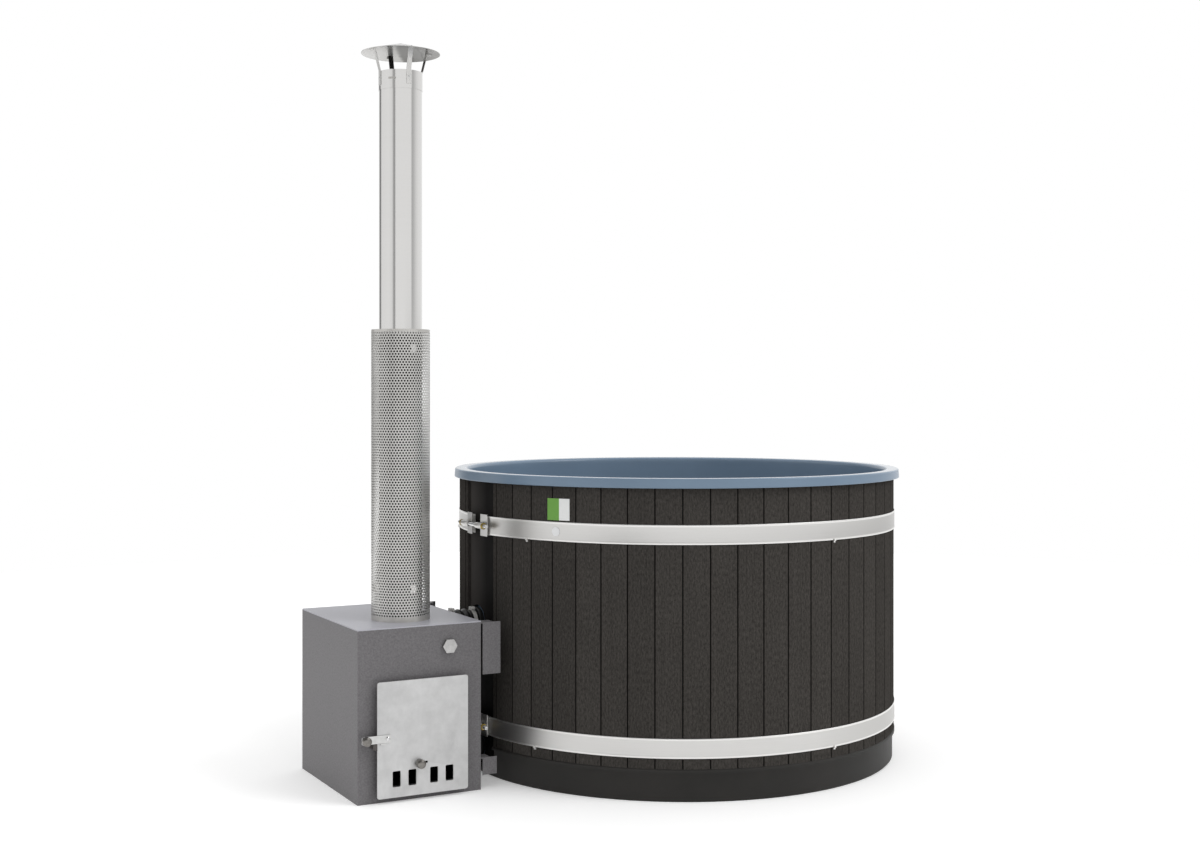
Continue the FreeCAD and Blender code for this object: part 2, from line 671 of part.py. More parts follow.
# Hooks: each stands on a board, beside its middle, and carries a hoop from below
hooks = []
hook_wide = float(S.hook_width)
hook_thick = float(S.hook_sheet)
board_wide = 2 * math.pi * float(S.tub_radius) / float(S.pitch_count)
for row, z in hoop_rows:
    first = (3, 0.3) if row == "upper" else (4, -0.3)
    last = (float(S.pitch_count) - first[0], -first[1])
    for board, beside in (first, (16, -0.35), (28, 0), (40, 0.35), last):
        face = float(S.tub_radius)
        lip = float(hoop_r) + float(S.rod_clear)
        low = float(z)
        side = beside * board_wide - hook_wide / 2
        foot = Part.makeBox(hook_thick, hook_wide, float(S.hook_drop),
                            FreeCAD.Vector(face, side, low - float(S.hook_drop)))
        ledge = Part.makeBox(lip + hook_thick - face, hook_wide, hook_thick,
                             FreeCAD.Vector(face, side, low - hook_thick))
        front = Part.makeBox(hook_thick, hook_wide, hook_thick + float(S.hook_lip),
                             FreeCAD.Vector(lip, side, low - hook_thick))
        hook = foot.fuse([ledge, front]).removeSplitter()
        hook.rotate(FreeCAD.Vector(), FreeCAD.Vector(0, 0, 1), float(S.channel_angle) + board * pitch)
        hooks.append(hook)
node("hoop_hooks", shaped("hooks", Part.makeCompound(hooks)))

# Water fittings, lock nuts, hoses, clamps and the pipe stubs of the stove
nut_face = shell_r + S.locknut_length
pipe_end = nut_face + S.cuff_length
pipe_bore = S.pipe_radius - S.pipe_wall
hose_bore = S.pipe_radius + S.pipe_clear
cuff_r = hose_bore + S.cuff_wall
rib_r = hose_bore + S.rib_wall
valley_r = hose_bore + S.valley_wall
locknuts = []
clamps = []
stubs = []
stub_cuts = []
for row, z in hose_rows:
    seat = pipe_end - shell_r + S.pad_depth
    node(row + "_tub_fitting", revolved(row + "_fitting", "X", [
        (0, pipe_bore),
        (0, S.pipe_radius),
        (seat, S.pipe_radius),
        (seat, S.flange_radius),
        (seat + S.flange_thickness * 0.6, S.flange_radius),
        (seat + S.flange_thickness, S.flange_radius - S.flange_thickness * 0.4),
        (seat + S.flange_thickness, pipe_bore),
    ], (-pipe_end, S.hose_y, z)))
    edge = S.locknut_length * 0.15
    locknuts.append(revolved(row + "_locknut", "X", [
        (0, S.pipe_radius),
        (0, S.locknut_radius - edge),
        (edge, S.locknut_radius),
        (S.locknut_length - edge, S.locknut_radius),
        (S.locknut_length, S.locknut_radius - edge),
        (S.locknut_length, S.pipe_radius),
    ], (-nut_face, S.hose_y, z)))

    start = -float(nut_face)
    length = -float(stove_right) - float(nut_face)
    cuff = float(S.cuff_length)
    step = (length - 2 * cuff) / float(S.rib_count)
    stations = [(0.0, float(cuff_r)), (cuff, float(cuff_r))]
    for k in range(int(float(S.rib_count))):
        base = cuff + k * step
        stations += [
            (base + 0.12 * step, float(valley_r)),
            (base + 0.32 * step, float(rib_r)),
            (base + 0.68 * step, float(rib_r)),
            (base + 0.88 * step, float(valley_r)),
        ]
    stations += [(length - cuff, float(cuff_r)), (length, float(cuff_r))]
    circles = []
    for at, radius in stations:
        middle = FreeCAD.Vector(start - at, float(S.hose_y), float(z))
        circles.append(Part.Wire(Part.makeCircle(radius, middle, FreeCAD.Vector(-1, 0, 0))))
    skin = Part.makeLoft(circles, True, True)
    hollow = Part.makeCylinder(float(hose_bore), length + 2,
                               FreeCAD.Vector(start + 1, float(S.hose_y), float(z)), FreeCAD.Vector(-1, 0, 0))
    node(row + "_hose", shaped(row + "_hose_form", skin.cut(hollow)))

    for end, x in (("tub", -(nut_face + S.cuff_length / 2)), ("stove", stove_right + S.cuff_length / 2)):
        name = row + "_" + end
        span = (x - S.clamp_width / 2, x + S.clamp_width / 2)
        crown = z + cuff_r if row == "upper" else z - cuff_r - S.clamp_band * 1.5 - S.clamp_block
        band = tube(name + "_band", "X", cuff_r + S.clamp_band, cuff_r, span, (S.hose_y, z))
        block = box(name + "_block", (x - S.clamp_width * 0.4, x + S.clamp_width * 0.4),
                    (S.hose_y - S.clamp_block * 0.7, S.hose_y + S.clamp_block * 0.7),
                    (crown + S.clamp_band * 0.5, crown + S.clamp_band + S.clamp_block))
        bolt = rod(name + "_bolt", "Y", S.clamp_bolt,
                   (S.hose_y - S.clamp_bolt_length / 2, S.hose_y + S.clamp_bolt_length / 2),
                   (x, crown + S.clamp_band + S.clamp_block * 0.55))
        clamps.append(fuse(name + "_clamp", [band, block, bolt]))
    stubs.append(tube(row + "_stub", "X", S.pipe_radius, pipe_bore,
                      (stove_right - S.casing_sheet, stove_right + S.cuff_length), (S.hose_y, z)))
    stub_cuts.append(rod(row + "_stub_cut", "X", S.pipe_radius,
                         (stove_right - S.jacket, stove_right + 1), (S.hose_y, z)))
node("fitting_locknuts", group("locknut_group", locknuts))
node("hose_clamps", group("clamp_group", clamps))
node("stove_stubs", group("stub_group", stubs))

# Stove casing of six welded sheets, and the firebox with a water jacket round it
door_left = stove_mid - S.door_width / 2
door_right = stove_mid + S.door_width / 2
door_top = S.door_bottom + S.door_height
door_face = stove_front - S.door_standoff
door_back = door_face + S.door_plate
flue_y = stove_front + S.flue_y
flue_place = (stove_mid, flue_y)
spigot_r = S.flue_radius - S.flue_wall - S.spigot_clear
wide = (stove_left, stove_right)
deep = (stove_front, stove_back)
between = (stove_left + S.casing_sheet, stove_right - S.casing_sheet)
upright = (S.casing_sheet, S.stove_height - S.casing_sheet)
lid = box("casing_lid", wide, deep, (S.stove_height - S.casing_sheet, S.stove_height))
flue_hole = rod("casing_flue_hole", "Z", S.flue_radius - S.flue_wall,
                (S.stove_height - S.jacket, S.stove_height + 1), flue_place)
node("casing_top", cut("casing_top_cut", lid, [flue_hole]))
node("casing_floor", box("casing_sole", wide, deep, (0, S.casing_sheet)))
node("casing_left", box("casing_side", (stove_left, stove_left + S.casing_sheet), deep, upright))
hose_side = box("casing_hose_side", (stove_right - S.casing_sheet, stove_right), deep, upright)
node("casing_right", cut("casing_right_cut", hose_side, stub_cuts))
node("casing_back", box("casing_rear", between, (stove_back - S.casing_sheet, stove_back), upright))
face = box("casing_face", between, (stove_front, stove_front + S.casing_sheet), upright)
mouth = box("casing_mouth", (door_left + S.opening_inset, door_right - S.opening_inset),
            (stove_front - 1, stove_front + S.casing_sheet + 1),
            (S.door_bottom + S.opening_inset, door_top - S.opening_inset))
node("casing_front", cut("casing_front_cut", face, [mouth]))

fire_left = stove_left + S.casing_sheet + S.jacket
fire_right = stove_right - S.casing_sheet - S.jacket
fire_front = stove_front + S.casing_sheet
fire_back = stove_back - S.casing_sheet - S.jacket
fire_top = S.stove_height - S.casing_sheet - S.jacket
fire = box("fire", (fire_left, fire_right), (fire_front, fire_back), (S.firebox_floor, fire_top))
fire_hollow = box("fire_hollow", (fire_left + S.firebox_wall, fire_right - S.firebox_wall),
                  (fire_front - 1, fire_back - S.firebox_wall),
                  (S.firebox_floor + S.firebox_wall, fire_top - S.firebox_wall))
fire_hole = rod("fire_hole", "Z", spigot_r - S.spigot_wall, (fire_top - S.jacket, fire_top + 1), flue_place)
node("firebox", cut("fire_cut", fire, [fire_hollow, fire_hole]))

rail_top = S.firebox_floor + S.firebox_wall + S.rail_height
rails = []
for side, low, high in (
    ("left", fire_left + S.firebox_wall, fire_left + S.firebox_wall + S.rail_size),
    ("right", fire_right - S.firebox_wall - S.rail_size, fire_right - S.firebox_wall),
):
    shelf = box(side + "_shelf", (low, high), (fire_front + S.jacket, fire_back - S.firebox_wall),
                (rail_top - S.firebox_wall, rail_top))
    near = low if side == "left" else high - S.firebox_wall
    leg = box(side + "_leg", (near, near + S.firebox_wall), (fire_front + S.jacket, fire_back - S.firebox_wall),
              (rail_top - S.rail_size, rail_top))
    rails.append(fuse(side + "_rail", [shelf, leg]))
node("grate_rails", group("rail_group", rails))

grate_left = fire_left + S.firebox_wall + S.grate_clear
grate_right = fire_right - S.firebox_wall - S.grate_clear
grate_front = fire_front + S.jacket
grate_back = fire_back - S.firebox_wall - S.grate_clear
grate = box("grate", (grate_left, grate_right), (grate_front, grate_back), (rail_top, rail_top + S.grate_thickness))
slots = []
room = float(grate_right) - float(grate_left) - 2 * float(S.grate_border) - float(S.grate_slot)
for k in range(int(room / float(S.grate_pitch)) + 1):
    x = grate_left + S.grate_border + S.grate_pitch * k
    slots.append(box("grate_slot_" + str(k), (x, x + S.grate_slot),
                     (grate_front + S.grate_border, grate_back - S.grate_border),
                     (rail_top - 1, rail_top + S.grate_thickness + 1)))
node("fire_grate", cut("grate_cut", grate, slots))

plug = hexagon("plug", "Y", S.plug_flats, (stove_front - S.plug_length, stove_front),
               (stove_left + S.plug_x, S.plug_z))
node("hex_plug", plug)

# Hose guards: folded sheet on the stove side, in front of and behind the hoses
for row, width, low, high in (
    ("upper", S.upper_guard_width, S.upper_guard_bottom, S.upper_guard_top),
    ("lower", S.lower_guard_width, S.lower_guard_bottom, S.lower_guard_top),
):
    near = stove_right + S.guard_gap
    plate = box(row + "_guard_plate", (near, near + width), (stove_front, stove_front + S.guard_sheet), (low, high))
    flange = box(row + "_guard_flange", (stove_right, near + width - S.flange_short), (stove_front, stove_front + S.guard_flange),
                 (high - S.guard_sheet, high))
    guard = fuse(row + "_guard", [plate, flange])
    node(row + "_guard_front", guard)
    mirror = doc.addObject("Part::Mirroring", row + "_guard_mirror")
    mirror.Source = guard
    mirror.Normal = FreeCAD.Vector(0, 1, 0)
    bind(mirror, "Base.y", S.hose_y)
    node(row + "_guard_rear", mirror)

# Flue, heat guard and rain hat
node("flue_spigot", tube("spigot", "Z", spigot_r, spigot_r - S.spigot_wall,
                         (fire_top, S.stove_height + S.spigot_height), flue_place))
node("flue_pipe", tube("flue", "Z", S.flue_radius, S.flue_radius - S.flue_wall,
                       (S.stove_height, S.flue_top), flue_place))
node("heat_guard", tube("screen", "Z", S.screen_radius, S.screen_radius - S.screen_wall,
                        (S.stove_height, S.screen_top), flue_place))
bands = []
for row, z in (("low", S.spacer_low), ("high", S.spacer_high)):
    bands.append(tube("spacer_" + row, "Z", S.screen_radius - S.screen_wall, S.flue_radius,
                      (z, z + S.spacer_height), flue_place))
arms = []
for k in range(3):
    arm = doc.addObject("Part::Box", "spacer_arm_" + str(k))
    bind(arm, "Length", S.screen_radius + 10)
    bind(arm, "Width", S.spacer_width)
    bind(arm, "Height", S.screen_top - S.stove_height)
    put(arm, stove_mid, flue_y, S.stove_height)
    arms.append(turned(arm, sized(30 + 120 * k)))
spacers = doc.addObject("Part::Common", "spacers")
spacers.Base = fuse("spacer_bands", bands)
spacers.Tool = fuse("spacer_arms", arms)
node("guard_spacers", spacers)

collar_r = S.flue_radius + S.collar_wall
node("hat_collar", tube("collar", "Z", collar_r, S.flue_radius, (S.flue_top - S.collar_height, S.flue_top),
                        flue_place))
hat_rim = S.flue_top + S.hat_gap
hat_point = hat_rim + S.hat_rise
node("rain_hat", revolved("hat", "Z", [
    (0, hat_point),
    (S.hat_radius, hat_rim),
    (S.hat_radius, hat_rim + S.hat_sheet),
    (0, hat_point + S.hat_sheet),
], (stove_mid, flue_y, 0)))


def under_hat(radius):
    return float(hat_rim) + float(S.hat_rise) * (1 - radius / float(S.hat_radius)) - 0.15


def around(shape, angle):
    """A copy of a piece drawn at the flue's +X side, turned and set on the flue axis."""
    copy = shape.copy()
    copy.rotate(FreeCAD.Vector(), FreeCAD.Vector(0, 0, 1), angle)
    copy.translate(FreeCAD.Vector(float(stove_mid), float(flue_y), 0))
    return copy


thick = float(S.leg_sheet)
wide = float(S.leg_width)
inner = float(collar_r)
splay = inner + float(S.leg_splay)
tab = splay + float(S.leg_tab)
shoulder = float(S.flue_top) + thick
outline = [
    (inner, float(S.flue_top) - float(S.leg_foot)),
    (inner + thick, float(S.flue_top) - float(S.leg_foot)),
    (inner + thick, shoulder),
    (splay + thick, under_hat(splay + thick) - thick),
    (tab, under_hat(tab) - thick),
    (tab, under_hat(tab)),
    (splay, under_hat(splay)),
    (inner, shoulder),
]
corners = [FreeCAD.Vector(r, -wide / 2, z) for r, z in outline]
leg = Part.Face(Part.makePolygon(corners + corners[:1])).extrude(FreeCAD.Vector(0, wide, 0))
node("hat_legs", shaped("legs", Part.makeCompound([around(leg, 90 * k) for k in range(4)])))

rivet_r = float(S.rivet_radius)
head = float(S.rivet_head)
at = splay + float(S.leg_tab) * 0.55
lift = under_hat(at) + 0.15 + float(S.hat_sheet)
normal = FreeCAD.Vector(float(S.hat_rise), 0, float(S.hat_radius))
crown = Part.makeCone(rivet_r, rivet_r * 0.6, head, FreeCAD.Vector(at, 0, lift), normal)
crown.translate(normal.normalize() * 0.05)
low = float(S.flue_top) - float(S.leg_foot) * 0.5
button = Part.makeCone(rivet_r, rivet_r * 0.6, head, FreeCAD.Vector(inner + thick, 0, low), FreeCAD.Vector(1, 0, 0))
rivets = []
for k in range(4):
    rivets.append(around(crown, 90 * k))
    rivets.append(around(button, 90 * k))
node("hat_rivets", shaped("rivets", Part.makeCompound(rivets)))

# Door plate: a pad with rounded corners, four vents and a slot for the damper knob


def rectangle(x, z):
    return [(x[0], z[0]), (x[1], z[0]), (x[1], z[1]), (x[0], z[1])]


def corner_edges(shape, low, high):
    """Names of the edges through the plate that stand inside a window of the plate."""
    names = []
    for k, edge in enumerate(shape.Edges, start=1):
        ends = [vertex.Point for vertex in edge.Vertexes]
        if len(ends) != 2 or abs(ends[0].y - ends[1].y) < 0.5:
            continue
        if abs(ends[0].x - ends[1].x) > 1e-6 or abs(ends[0].z - ends[1].z) > 1e-6:
            continue
        if low[0] <= ends[0].x <= high[0] and low[1] <= ends[0].z <= high[1]:
            names.append("Edge" + str(k))
    return names


def rounded(body, base, name, radius, low, high):
    doc.recompute()
    fillet = body.newObject("PartDesign::Fillet", name)
    fillet.Base = (base, corner_edges(base.Shape, low, high))
    bind(fillet, "Radius", radius)
    body.Tip = fillet
    return fillet


def plate_body(name, width, height, thickness, corner, windows):
    """An upright plate with rounded corners; windows are lists of loops with their corner radius."""
    body = doc.addObject("PartDesign::Body", name)
    sketch = profile(body, name + "_outline", "XZ_Plane", rectangle((0, width), (0, height)))
    pad = body.newObject("PartDesign::Pad", name + "_pad")
    pad.Profile = sketch
    bind(pad, "Length", thickness)
    body.Tip = pad
    far = (float(width) + 1, float(height) + 1)
    last = rounded(body, pad, name + "_corners", corner, (-1, -1), far)
    for k, (loops, radius) in enumerate(windows):
        cutter = profile(body, name + "_window_" + str(k), "XZ_Plane", *loops)
        pocket = body.newObject("PartDesign::Pocket", name + "_pocket_" + str(k))
        pocket.Profile = cutter
        pocket.Type = "ThroughAll"
        pocket.Midplane = True
        body.Tip = pocket
        xs = [float(a) for loop in loops for a, b in loop]
        zs = [float(b) for loop in loops for a, b in loop]
        last = rounded(body, pocket, name + "_window_corners_" + str(k), radius,
                       (min(xs) - 0.1, min(zs) - 0.1), (max(xs) + 0.1, max(zs) + 0.1))
    return body


middle = S.door_width / 2
vent_at = (-S.vent_outer, -S.vent_inner, S.vent_inner, S.vent_outer)
vent_low = S.vent_bottom - S.door_bottom
vents = []
for offset in vent_at:
    vents.append(rectangle((middle + offset - S.vent_width / 2, middle + offset + S.vent_width / 2),
                           (vent_low, vent_low + S.vent_height)))
reach = S.knob_stem + S.slot_clear
slot_z = S.knob_z - S.door_bottom
slot = rectangle((middle - S.knob_x - reach, middle - S.knob_x + S.damper_travel + reach),
                 (slot_z - S.slot_height / 2, slot_z + S.slot_height / 2))
door = plate_body("door", S.door_width, S.door_height, S.door_plate, S.door_corner,
                  [(vents, S.vent_corner), ([slot], S.slot_height * 0.48)])
put(door, door_left, door_back, S.door_bottom)
node("door_plate", door)


def frame(name, inset, width, y):
    """A rectangular ring behind the door plate."""
    outer = box(name + "_outer", (door_left + inset, door_right - inset), y,
                (S.door_bottom + inset, door_top - inset))
    deep = inset + width
    inner = box(name + "_inner", (door_left + deep, door_right - deep), (y[0] - 1, y[1] + 1),
                (S.door_bottom + deep, door_top - deep))
    return cut(name, outer, [inner])


seal_front = stove_front - S.seal_clear - S.seal_depth
node("door_frame", frame("door_ring", S.frame_inset, S.frame_wall, (door_back, seal_front)))
node("door_seal", frame("seal_ring", S.frame_inset, S.seal_width, (seal_front, stove_front - S.seal_clear)))
frame_in = S.frame_inset + S.frame_wall
node("door_baffle", box("baffle", (door_left + frame_in, door_right - frame_in),
                        (seal_front - S.baffle_sheet * 2, seal_front - S.baffle_sheet),
                        (S.baffle_bottom, door_top - frame_in)))

# Damper in two guides behind the door plate
damper_front = door_back + S.damper_clear
damper_back = damper_front + S.damper_sheet
damper_low = S.vent_bottom - S.damper_edge
damper_high = S.knob_z + S.damper_head
guide_back = damper_back + S.damper_clear + S.guide_sheet
guide_span = (door_left + frame_in, door_right - frame_in)
lower_foot = box("lower_foot", guide_span, (door_back, guide_back),
                 (damper_low - S.damper_clear - S.guide_sheet, damper_low - S.damper_clear))
lower_lip = box("lower_lip", guide_span, (guide_back - S.guide_sheet, guide_back),
                (damper_low - S.damper_clear - S.guide_sheet, damper_low - S.damper_clear + S.guide_lip))
upper_foot = box("upper_foot", guide_span, (door_back, guide_back),
                 (damper_high + S.damper_clear, damper_high + S.damper_clear + S.guide_sheet))
upper_lip = box("upper_lip", guide_span, (guide_back - S.guide_sheet, guide_back),
                (damper_high + S.damper_clear - S.guide_lip, damper_high + S.damper_clear + S.guide_sheet))
node("damper_guides", group("guide_group", [fuse("lower_guide", [lower_foot, lower_lip]),
                                            fuse("upper_guide", [upper_foot, upper_lip])]))
damper_left = stove_mid - S.vent_outer - S.vent_width / 2 - S.damper_travel - S.damper_cover
damper = box("damper", (damper_left, stove_mid + S.vent_outer - S.damper_window / 2),
             (damper_front, damper_back), (damper_low, damper_high))
windows = []
for k, offset in enumerate(vent_at[:3]):
    x = stove_mid + offset
    windows.append(box("damper_window_" + str(k), (x - S.damper_window / 2, x + S.damper_window / 2),
                       (damper_front - 1, damper_back + 1), (S.vent_bottom, S.vent_bottom + S.vent_height)))
node("damper_slide", cut("damper_cut", damper, windows))
tip = S.knob_neck + S.knob_length
stem_end = tip + S.door_plate + S.damper_clear
node("damper_knob", revolved("knob", "Y", [
    (0, 0),
    (S.knob_length * 0.03, S.knob_radius * 0.42),
    (S.knob_length * 0.09, S.knob_radius * 0.72),
    (S.knob_length * 0.19, S.knob_radius * 0.92),
    (S.knob_length * 0.3, S.knob_radius),
    (S.knob_length * 0.78, S.knob_radius),
    (S.knob_length * 0.92, S.knob_radius * 0.88),
    (S.knob_length, S.knob_radius * 0.6),
    (S.knob_length, S.knob_stem),
    (stem_end, S.knob_stem),
    (stem_end, 0),
], (stove_mid - S.knob_x, door_face - tip, S.knob_z)))

# Latch: a lever on a rivet, resting on a tab of the door and on the keeper of the stove
pivot_x = door_left + S.latch_x
lever_back = door_face - S.lever_clear
lever_front = lever_back - S.lever_sheet
lever_low = S.latch_z - S.lever_height / 2
lever_left = pivot_x - S.lever_left
blade = plate_body("blade", S.lever_left + S.lever_right, S.lever_height, S.lever_sheet, S.lever_height * 0.18, [])
put(blade, lever_left, lever_back, lever_low)
lever_hole = rod("lever_hole", "Y", S.rivet_shank + S.running, (lever_front - 1, lever_back + 1), (pivot_x, S.latch_z))
node("latch_lever", cut("lever_cut", blade, [lever_hole]))
node("latch_knob", revolved("ball", "Y", [
    (0, 0),
    (S.ball_radius * 0.08, S.ball_radius * 0.39),
    (S.ball_radius * 0.26, S.ball_radius * 0.67),
    (S.ball_radius * 0.5, S.ball_radius * 0.866),
    (S.ball_radius * 0.74, S.ball_radius * 0.966),
    (S.ball_radius, S.ball_radius),
    (S.ball_length - S.ball_radius * 0.2, S.ball_radius * 0.966),
    (S.ball_length, S.ball_radius * 0.88),
    (S.ball_length, 0),
], (pivot_x - S.ball_x, lever_front - S.ball_length, S.latch_z)))
shank = S.lever_clear + S.lever_sheet + S.rest_clear
node("latch_rivet", revolved("rivet", "Y", [
    (0, 0),
    (0, S.rivet_cap * 0.7),
    (S.rivet_rise * 0.4, S.rivet_cap),
    (S.rivet_rise, S.rivet_cap),
    (S.rivet_rise, S.rivet_shank),
    (S.rivet_rise + shank, S.rivet_shank),
    (S.rivet_rise + shank, 0),
], (pivot_x, door_face - shank - S.rivet_rise, S.latch_z)))
rest = lever_low - S.rest_clear
node("latch_stop", box("stop", (pivot_x - S.tab_right - S.tab_width, pivot_x - S.tab_right),
                       (door_face - S.tab_length, door_face), (rest - S.tab_height, rest)))
keeper_right = door_left - S.keeper_gap
keeper_x = (keeper_right - S.keeper_width, keeper_right)
keeper_tip = stove_front - S.keeper_reach
ledge = box("keeper_ledge", keeper_x, (keeper_tip, stove_front), (rest - S.keeper_sheet, rest))
nose = box("keeper_nose", keeper_x, (keeper_tip, keeper_tip + S.keeper_sheet), (rest - S.keeper_drop, rest))
root = box("keeper_root", keeper_x, (stove_front - S.keeper_sheet, stove_front), (rest - S.keeper_drop, rest))
node("latch_keeper", fuse("keeper", [ledge, nose, root]))

# Hinges: ears with fixed pins on the stove, knuckles that sit on them on the door
hinge_x = door_right - S.hinge_x
hinge_y = stove_front - S.hinge_y
ears = []
knuckles = []
pins = []
for row, z in (("low", S.door_bottom + S.hinge_low), ("high", S.door_bottom + S.hinge_high)):
    ear_span = (z, z + S.ear_height)
    knuckle_low = z + S.ear_height + S.hinge_clear
    knuckle_span = (knuckle_low, knuckle_low + S.knuckle_height)
    place = (hinge_x, hinge_y)
    foot = box(row + "_ear_foot", (hinge_x - S.hinge_barrel, hinge_x + S.hinge_side), (hinge_y, stove_front), ear_span)
    barrel = rod(row + "_ear_barrel", "Z", S.hinge_barrel, ear_span, place)
    socket = rod(row + "_ear_socket", "Z", S.hinge_pin, (z - 1, z + S.ear_height + 1), place)
    ears.append(cut(row + "_ear", fuse(row + "_ear_fuse", [foot, barrel]), [socket]))
    leaf = box(row + "_leaf", (hinge_x - S.hinge_barrel, hinge_x + S.hinge_side * 0.75), (door_back, hinge_y),
               knuckle_span)
    roll = rod(row + "_roll", "Z", S.hinge_barrel, knuckle_span, place)
    bore = rod(row + "_hinge_bore", "Z", S.hinge_pin + S.running,
               (knuckle_low - 1, knuckle_low + S.knuckle_height + 1), place)
    knuckles.append(cut(row + "_knuckle", fuse(row + "_knuckle_fuse", [leaf, roll]), [bore]))
    pins.append(rod(row + "_pin", "Z", S.hinge_pin, (z, knuckle_low + S.knuckle_height), place))
node("hinge_ears", group("ear_group", ears))
node("hinge_knuckles", group("knuckle_group", knuckles))
node("hinge_pins", group("pin_group", pins))

# Checks and export
doc.recompute()
for obj in doc.Objects:
    state = list(obj.State)
    if "Invalid" in state or "Error" in state:
        raise RuntimeError(obj.Name + " " + str(state))
os.makedirs("parts", exist_ok=True)
for name, obj in nodes.items():
    shape = obj.Shape
    if shape.isNull() or not shape.isValid() or not shape.Solids:
        raise RuntimeError(name + " has no valid solid")
    shape.exportStep("parts/" + name + ".step")
    size = shape.BoundBox
    print(name, len(shape.Solids), round(shape.Volume), [round(v, 1) for v in (
        size.XMin, size.XMax, size.YMin, size.YMax, size.ZMin, size.ZMax)])
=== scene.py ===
import json
import math

import bmesh
import bpy
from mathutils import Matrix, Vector

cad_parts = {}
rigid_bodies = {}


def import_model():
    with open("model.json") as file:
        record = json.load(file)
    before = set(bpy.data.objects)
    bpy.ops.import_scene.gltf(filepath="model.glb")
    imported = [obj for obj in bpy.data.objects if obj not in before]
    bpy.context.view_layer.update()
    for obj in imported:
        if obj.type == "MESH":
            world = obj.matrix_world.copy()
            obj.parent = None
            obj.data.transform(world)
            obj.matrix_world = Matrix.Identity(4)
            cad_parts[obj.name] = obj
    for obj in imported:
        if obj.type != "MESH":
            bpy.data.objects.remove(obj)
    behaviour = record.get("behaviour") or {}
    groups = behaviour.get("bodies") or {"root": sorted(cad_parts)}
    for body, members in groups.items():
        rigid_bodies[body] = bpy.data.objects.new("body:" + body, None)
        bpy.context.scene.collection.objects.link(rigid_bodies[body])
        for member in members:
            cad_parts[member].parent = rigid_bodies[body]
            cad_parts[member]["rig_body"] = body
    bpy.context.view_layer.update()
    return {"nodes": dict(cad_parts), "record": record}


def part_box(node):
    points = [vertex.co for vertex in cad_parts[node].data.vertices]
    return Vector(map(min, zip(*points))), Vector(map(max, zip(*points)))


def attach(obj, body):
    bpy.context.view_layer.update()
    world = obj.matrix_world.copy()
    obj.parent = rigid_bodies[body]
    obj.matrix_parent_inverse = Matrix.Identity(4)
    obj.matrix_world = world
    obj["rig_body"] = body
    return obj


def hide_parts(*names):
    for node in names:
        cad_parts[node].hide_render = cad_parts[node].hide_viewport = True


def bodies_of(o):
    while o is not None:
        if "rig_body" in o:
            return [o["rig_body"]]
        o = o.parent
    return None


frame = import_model()

MM = 0.001
ROOT = "tub_and_stove"
HOOPS = ("upper_hoop", "lower_hoop")
BOARD_COUNT = 56
CHANNEL_TURN = 179.4
LABEL_TURN = 210.0
STICKER_TURN = 209.4
GUARD_TURN = math.radians(-22.15)
CAMERA_TURN = math.radians(-28.5)
CAMERA_RIGHT = (math.cos(CAMERA_TURN), math.sin(CAMERA_TURN), 0)
CAMERA_AHEAD = (-math.sin(CAMERA_TURN), math.cos(CAMERA_TURN), 0)


# Meshes

def mesh_of(name, verts, faces, sharp=35):
    """A closed or open mesh with outward normals, smooth but for edges sharper than the angle."""
    mesh = bpy.data.meshes.new(name)
    mesh.from_pydata([tuple(v) for v in verts], [], faces)
    work = bmesh.new()
    work.from_mesh(mesh)
    bmesh.ops.remove_doubles(work, verts=work.verts, dist=1e-6)
    bmesh.ops.recalc_face_normals(work, faces=work.faces)
    work.to_mesh(mesh)
    work.free()
    mesh.shade_smooth()
    mesh.set_sharp_from_angle(angle=math.radians(sharp))
    return mesh


def placed(axis, radius, along, angle):
    """A point of a turned piece, seen from its own axis."""
    a, b = radius * math.cos(angle), radius * math.sin(angle)
    if axis == "X":
        return Vector((along, a, b))
    if axis == "Y":
        return Vector((a, along, b))
    return Vector((a, b, along))


def turned(profile, centre, axis="Z", steps=96):
    """Vertices and faces of a closed profile of (radius, along) pairs turned about an axis."""
    verts = []
    faces = []
    count = len(profile)
    for k in range(steps):
        angle = 2 * math.pi * k / steps
        for radius, along in profile:
            verts.append(placed(axis, radius, along, angle) + Vector(centre))
    for k in range(steps):
        after = (k + 1) % steps
        for i in range(count):
            j = (i + 1) % count
            if profile[i][0] < 1e-9 and profile[j][0] < 1e-9:
                continue
            faces.append((k * count + i, k * count + j, after * count + j, after * count + i))
    return verts, faces


def joined(*parts):
    """Several (verts, faces) pairs as one."""
    verts = []
    faces = []
    for more_verts, more_faces in parts:
        base = len(verts)
        verts += more_verts
        faces += [tuple(base + i for i in face) for face in more_faces]
    return verts, faces


def strip_faces(count, steps):
    """Faces of a closed profile of so many points, swept in so many steps, with a cap at each end."""
    faces = [tuple(reversed(range(count))), tuple(count * steps + i for i in range(count))]
    for k in range(steps):
        for i in range(count):
            j = (i + 1) % count
            faces.append((count * k + i, count * k + j, count * (k + 1) + j, count * (k + 1) + i))
    return faces


def sector(inner, outer, start, end, low, high, centre=(0, 0, 0), steps=8):
    """A curved bar about an upright axis, angles in degrees."""
    verts = []
    for k in range(steps + 1):
        angle = math.radians(start + (end - start) * k / steps)
        for radius, z in ((inner, low), (outer, low), (outer, high), (inner, high)):
            verts.append(placed("Z", radius, z, angle) + Vector(centre))
    return verts, strip_faces(4, steps)


def scaled(profile, radius=0.0, along=0.0, sense=1):
    """A profile drawn in millimetres, now in metres, moved out and along, and mirrored if asked."""
    return [(radius + out * MM, along + sense * far * MM) for out, far in profile]


def spread(middle, half):
    """The two ends of a length, from its middle."""
    return middle - half, middle + half


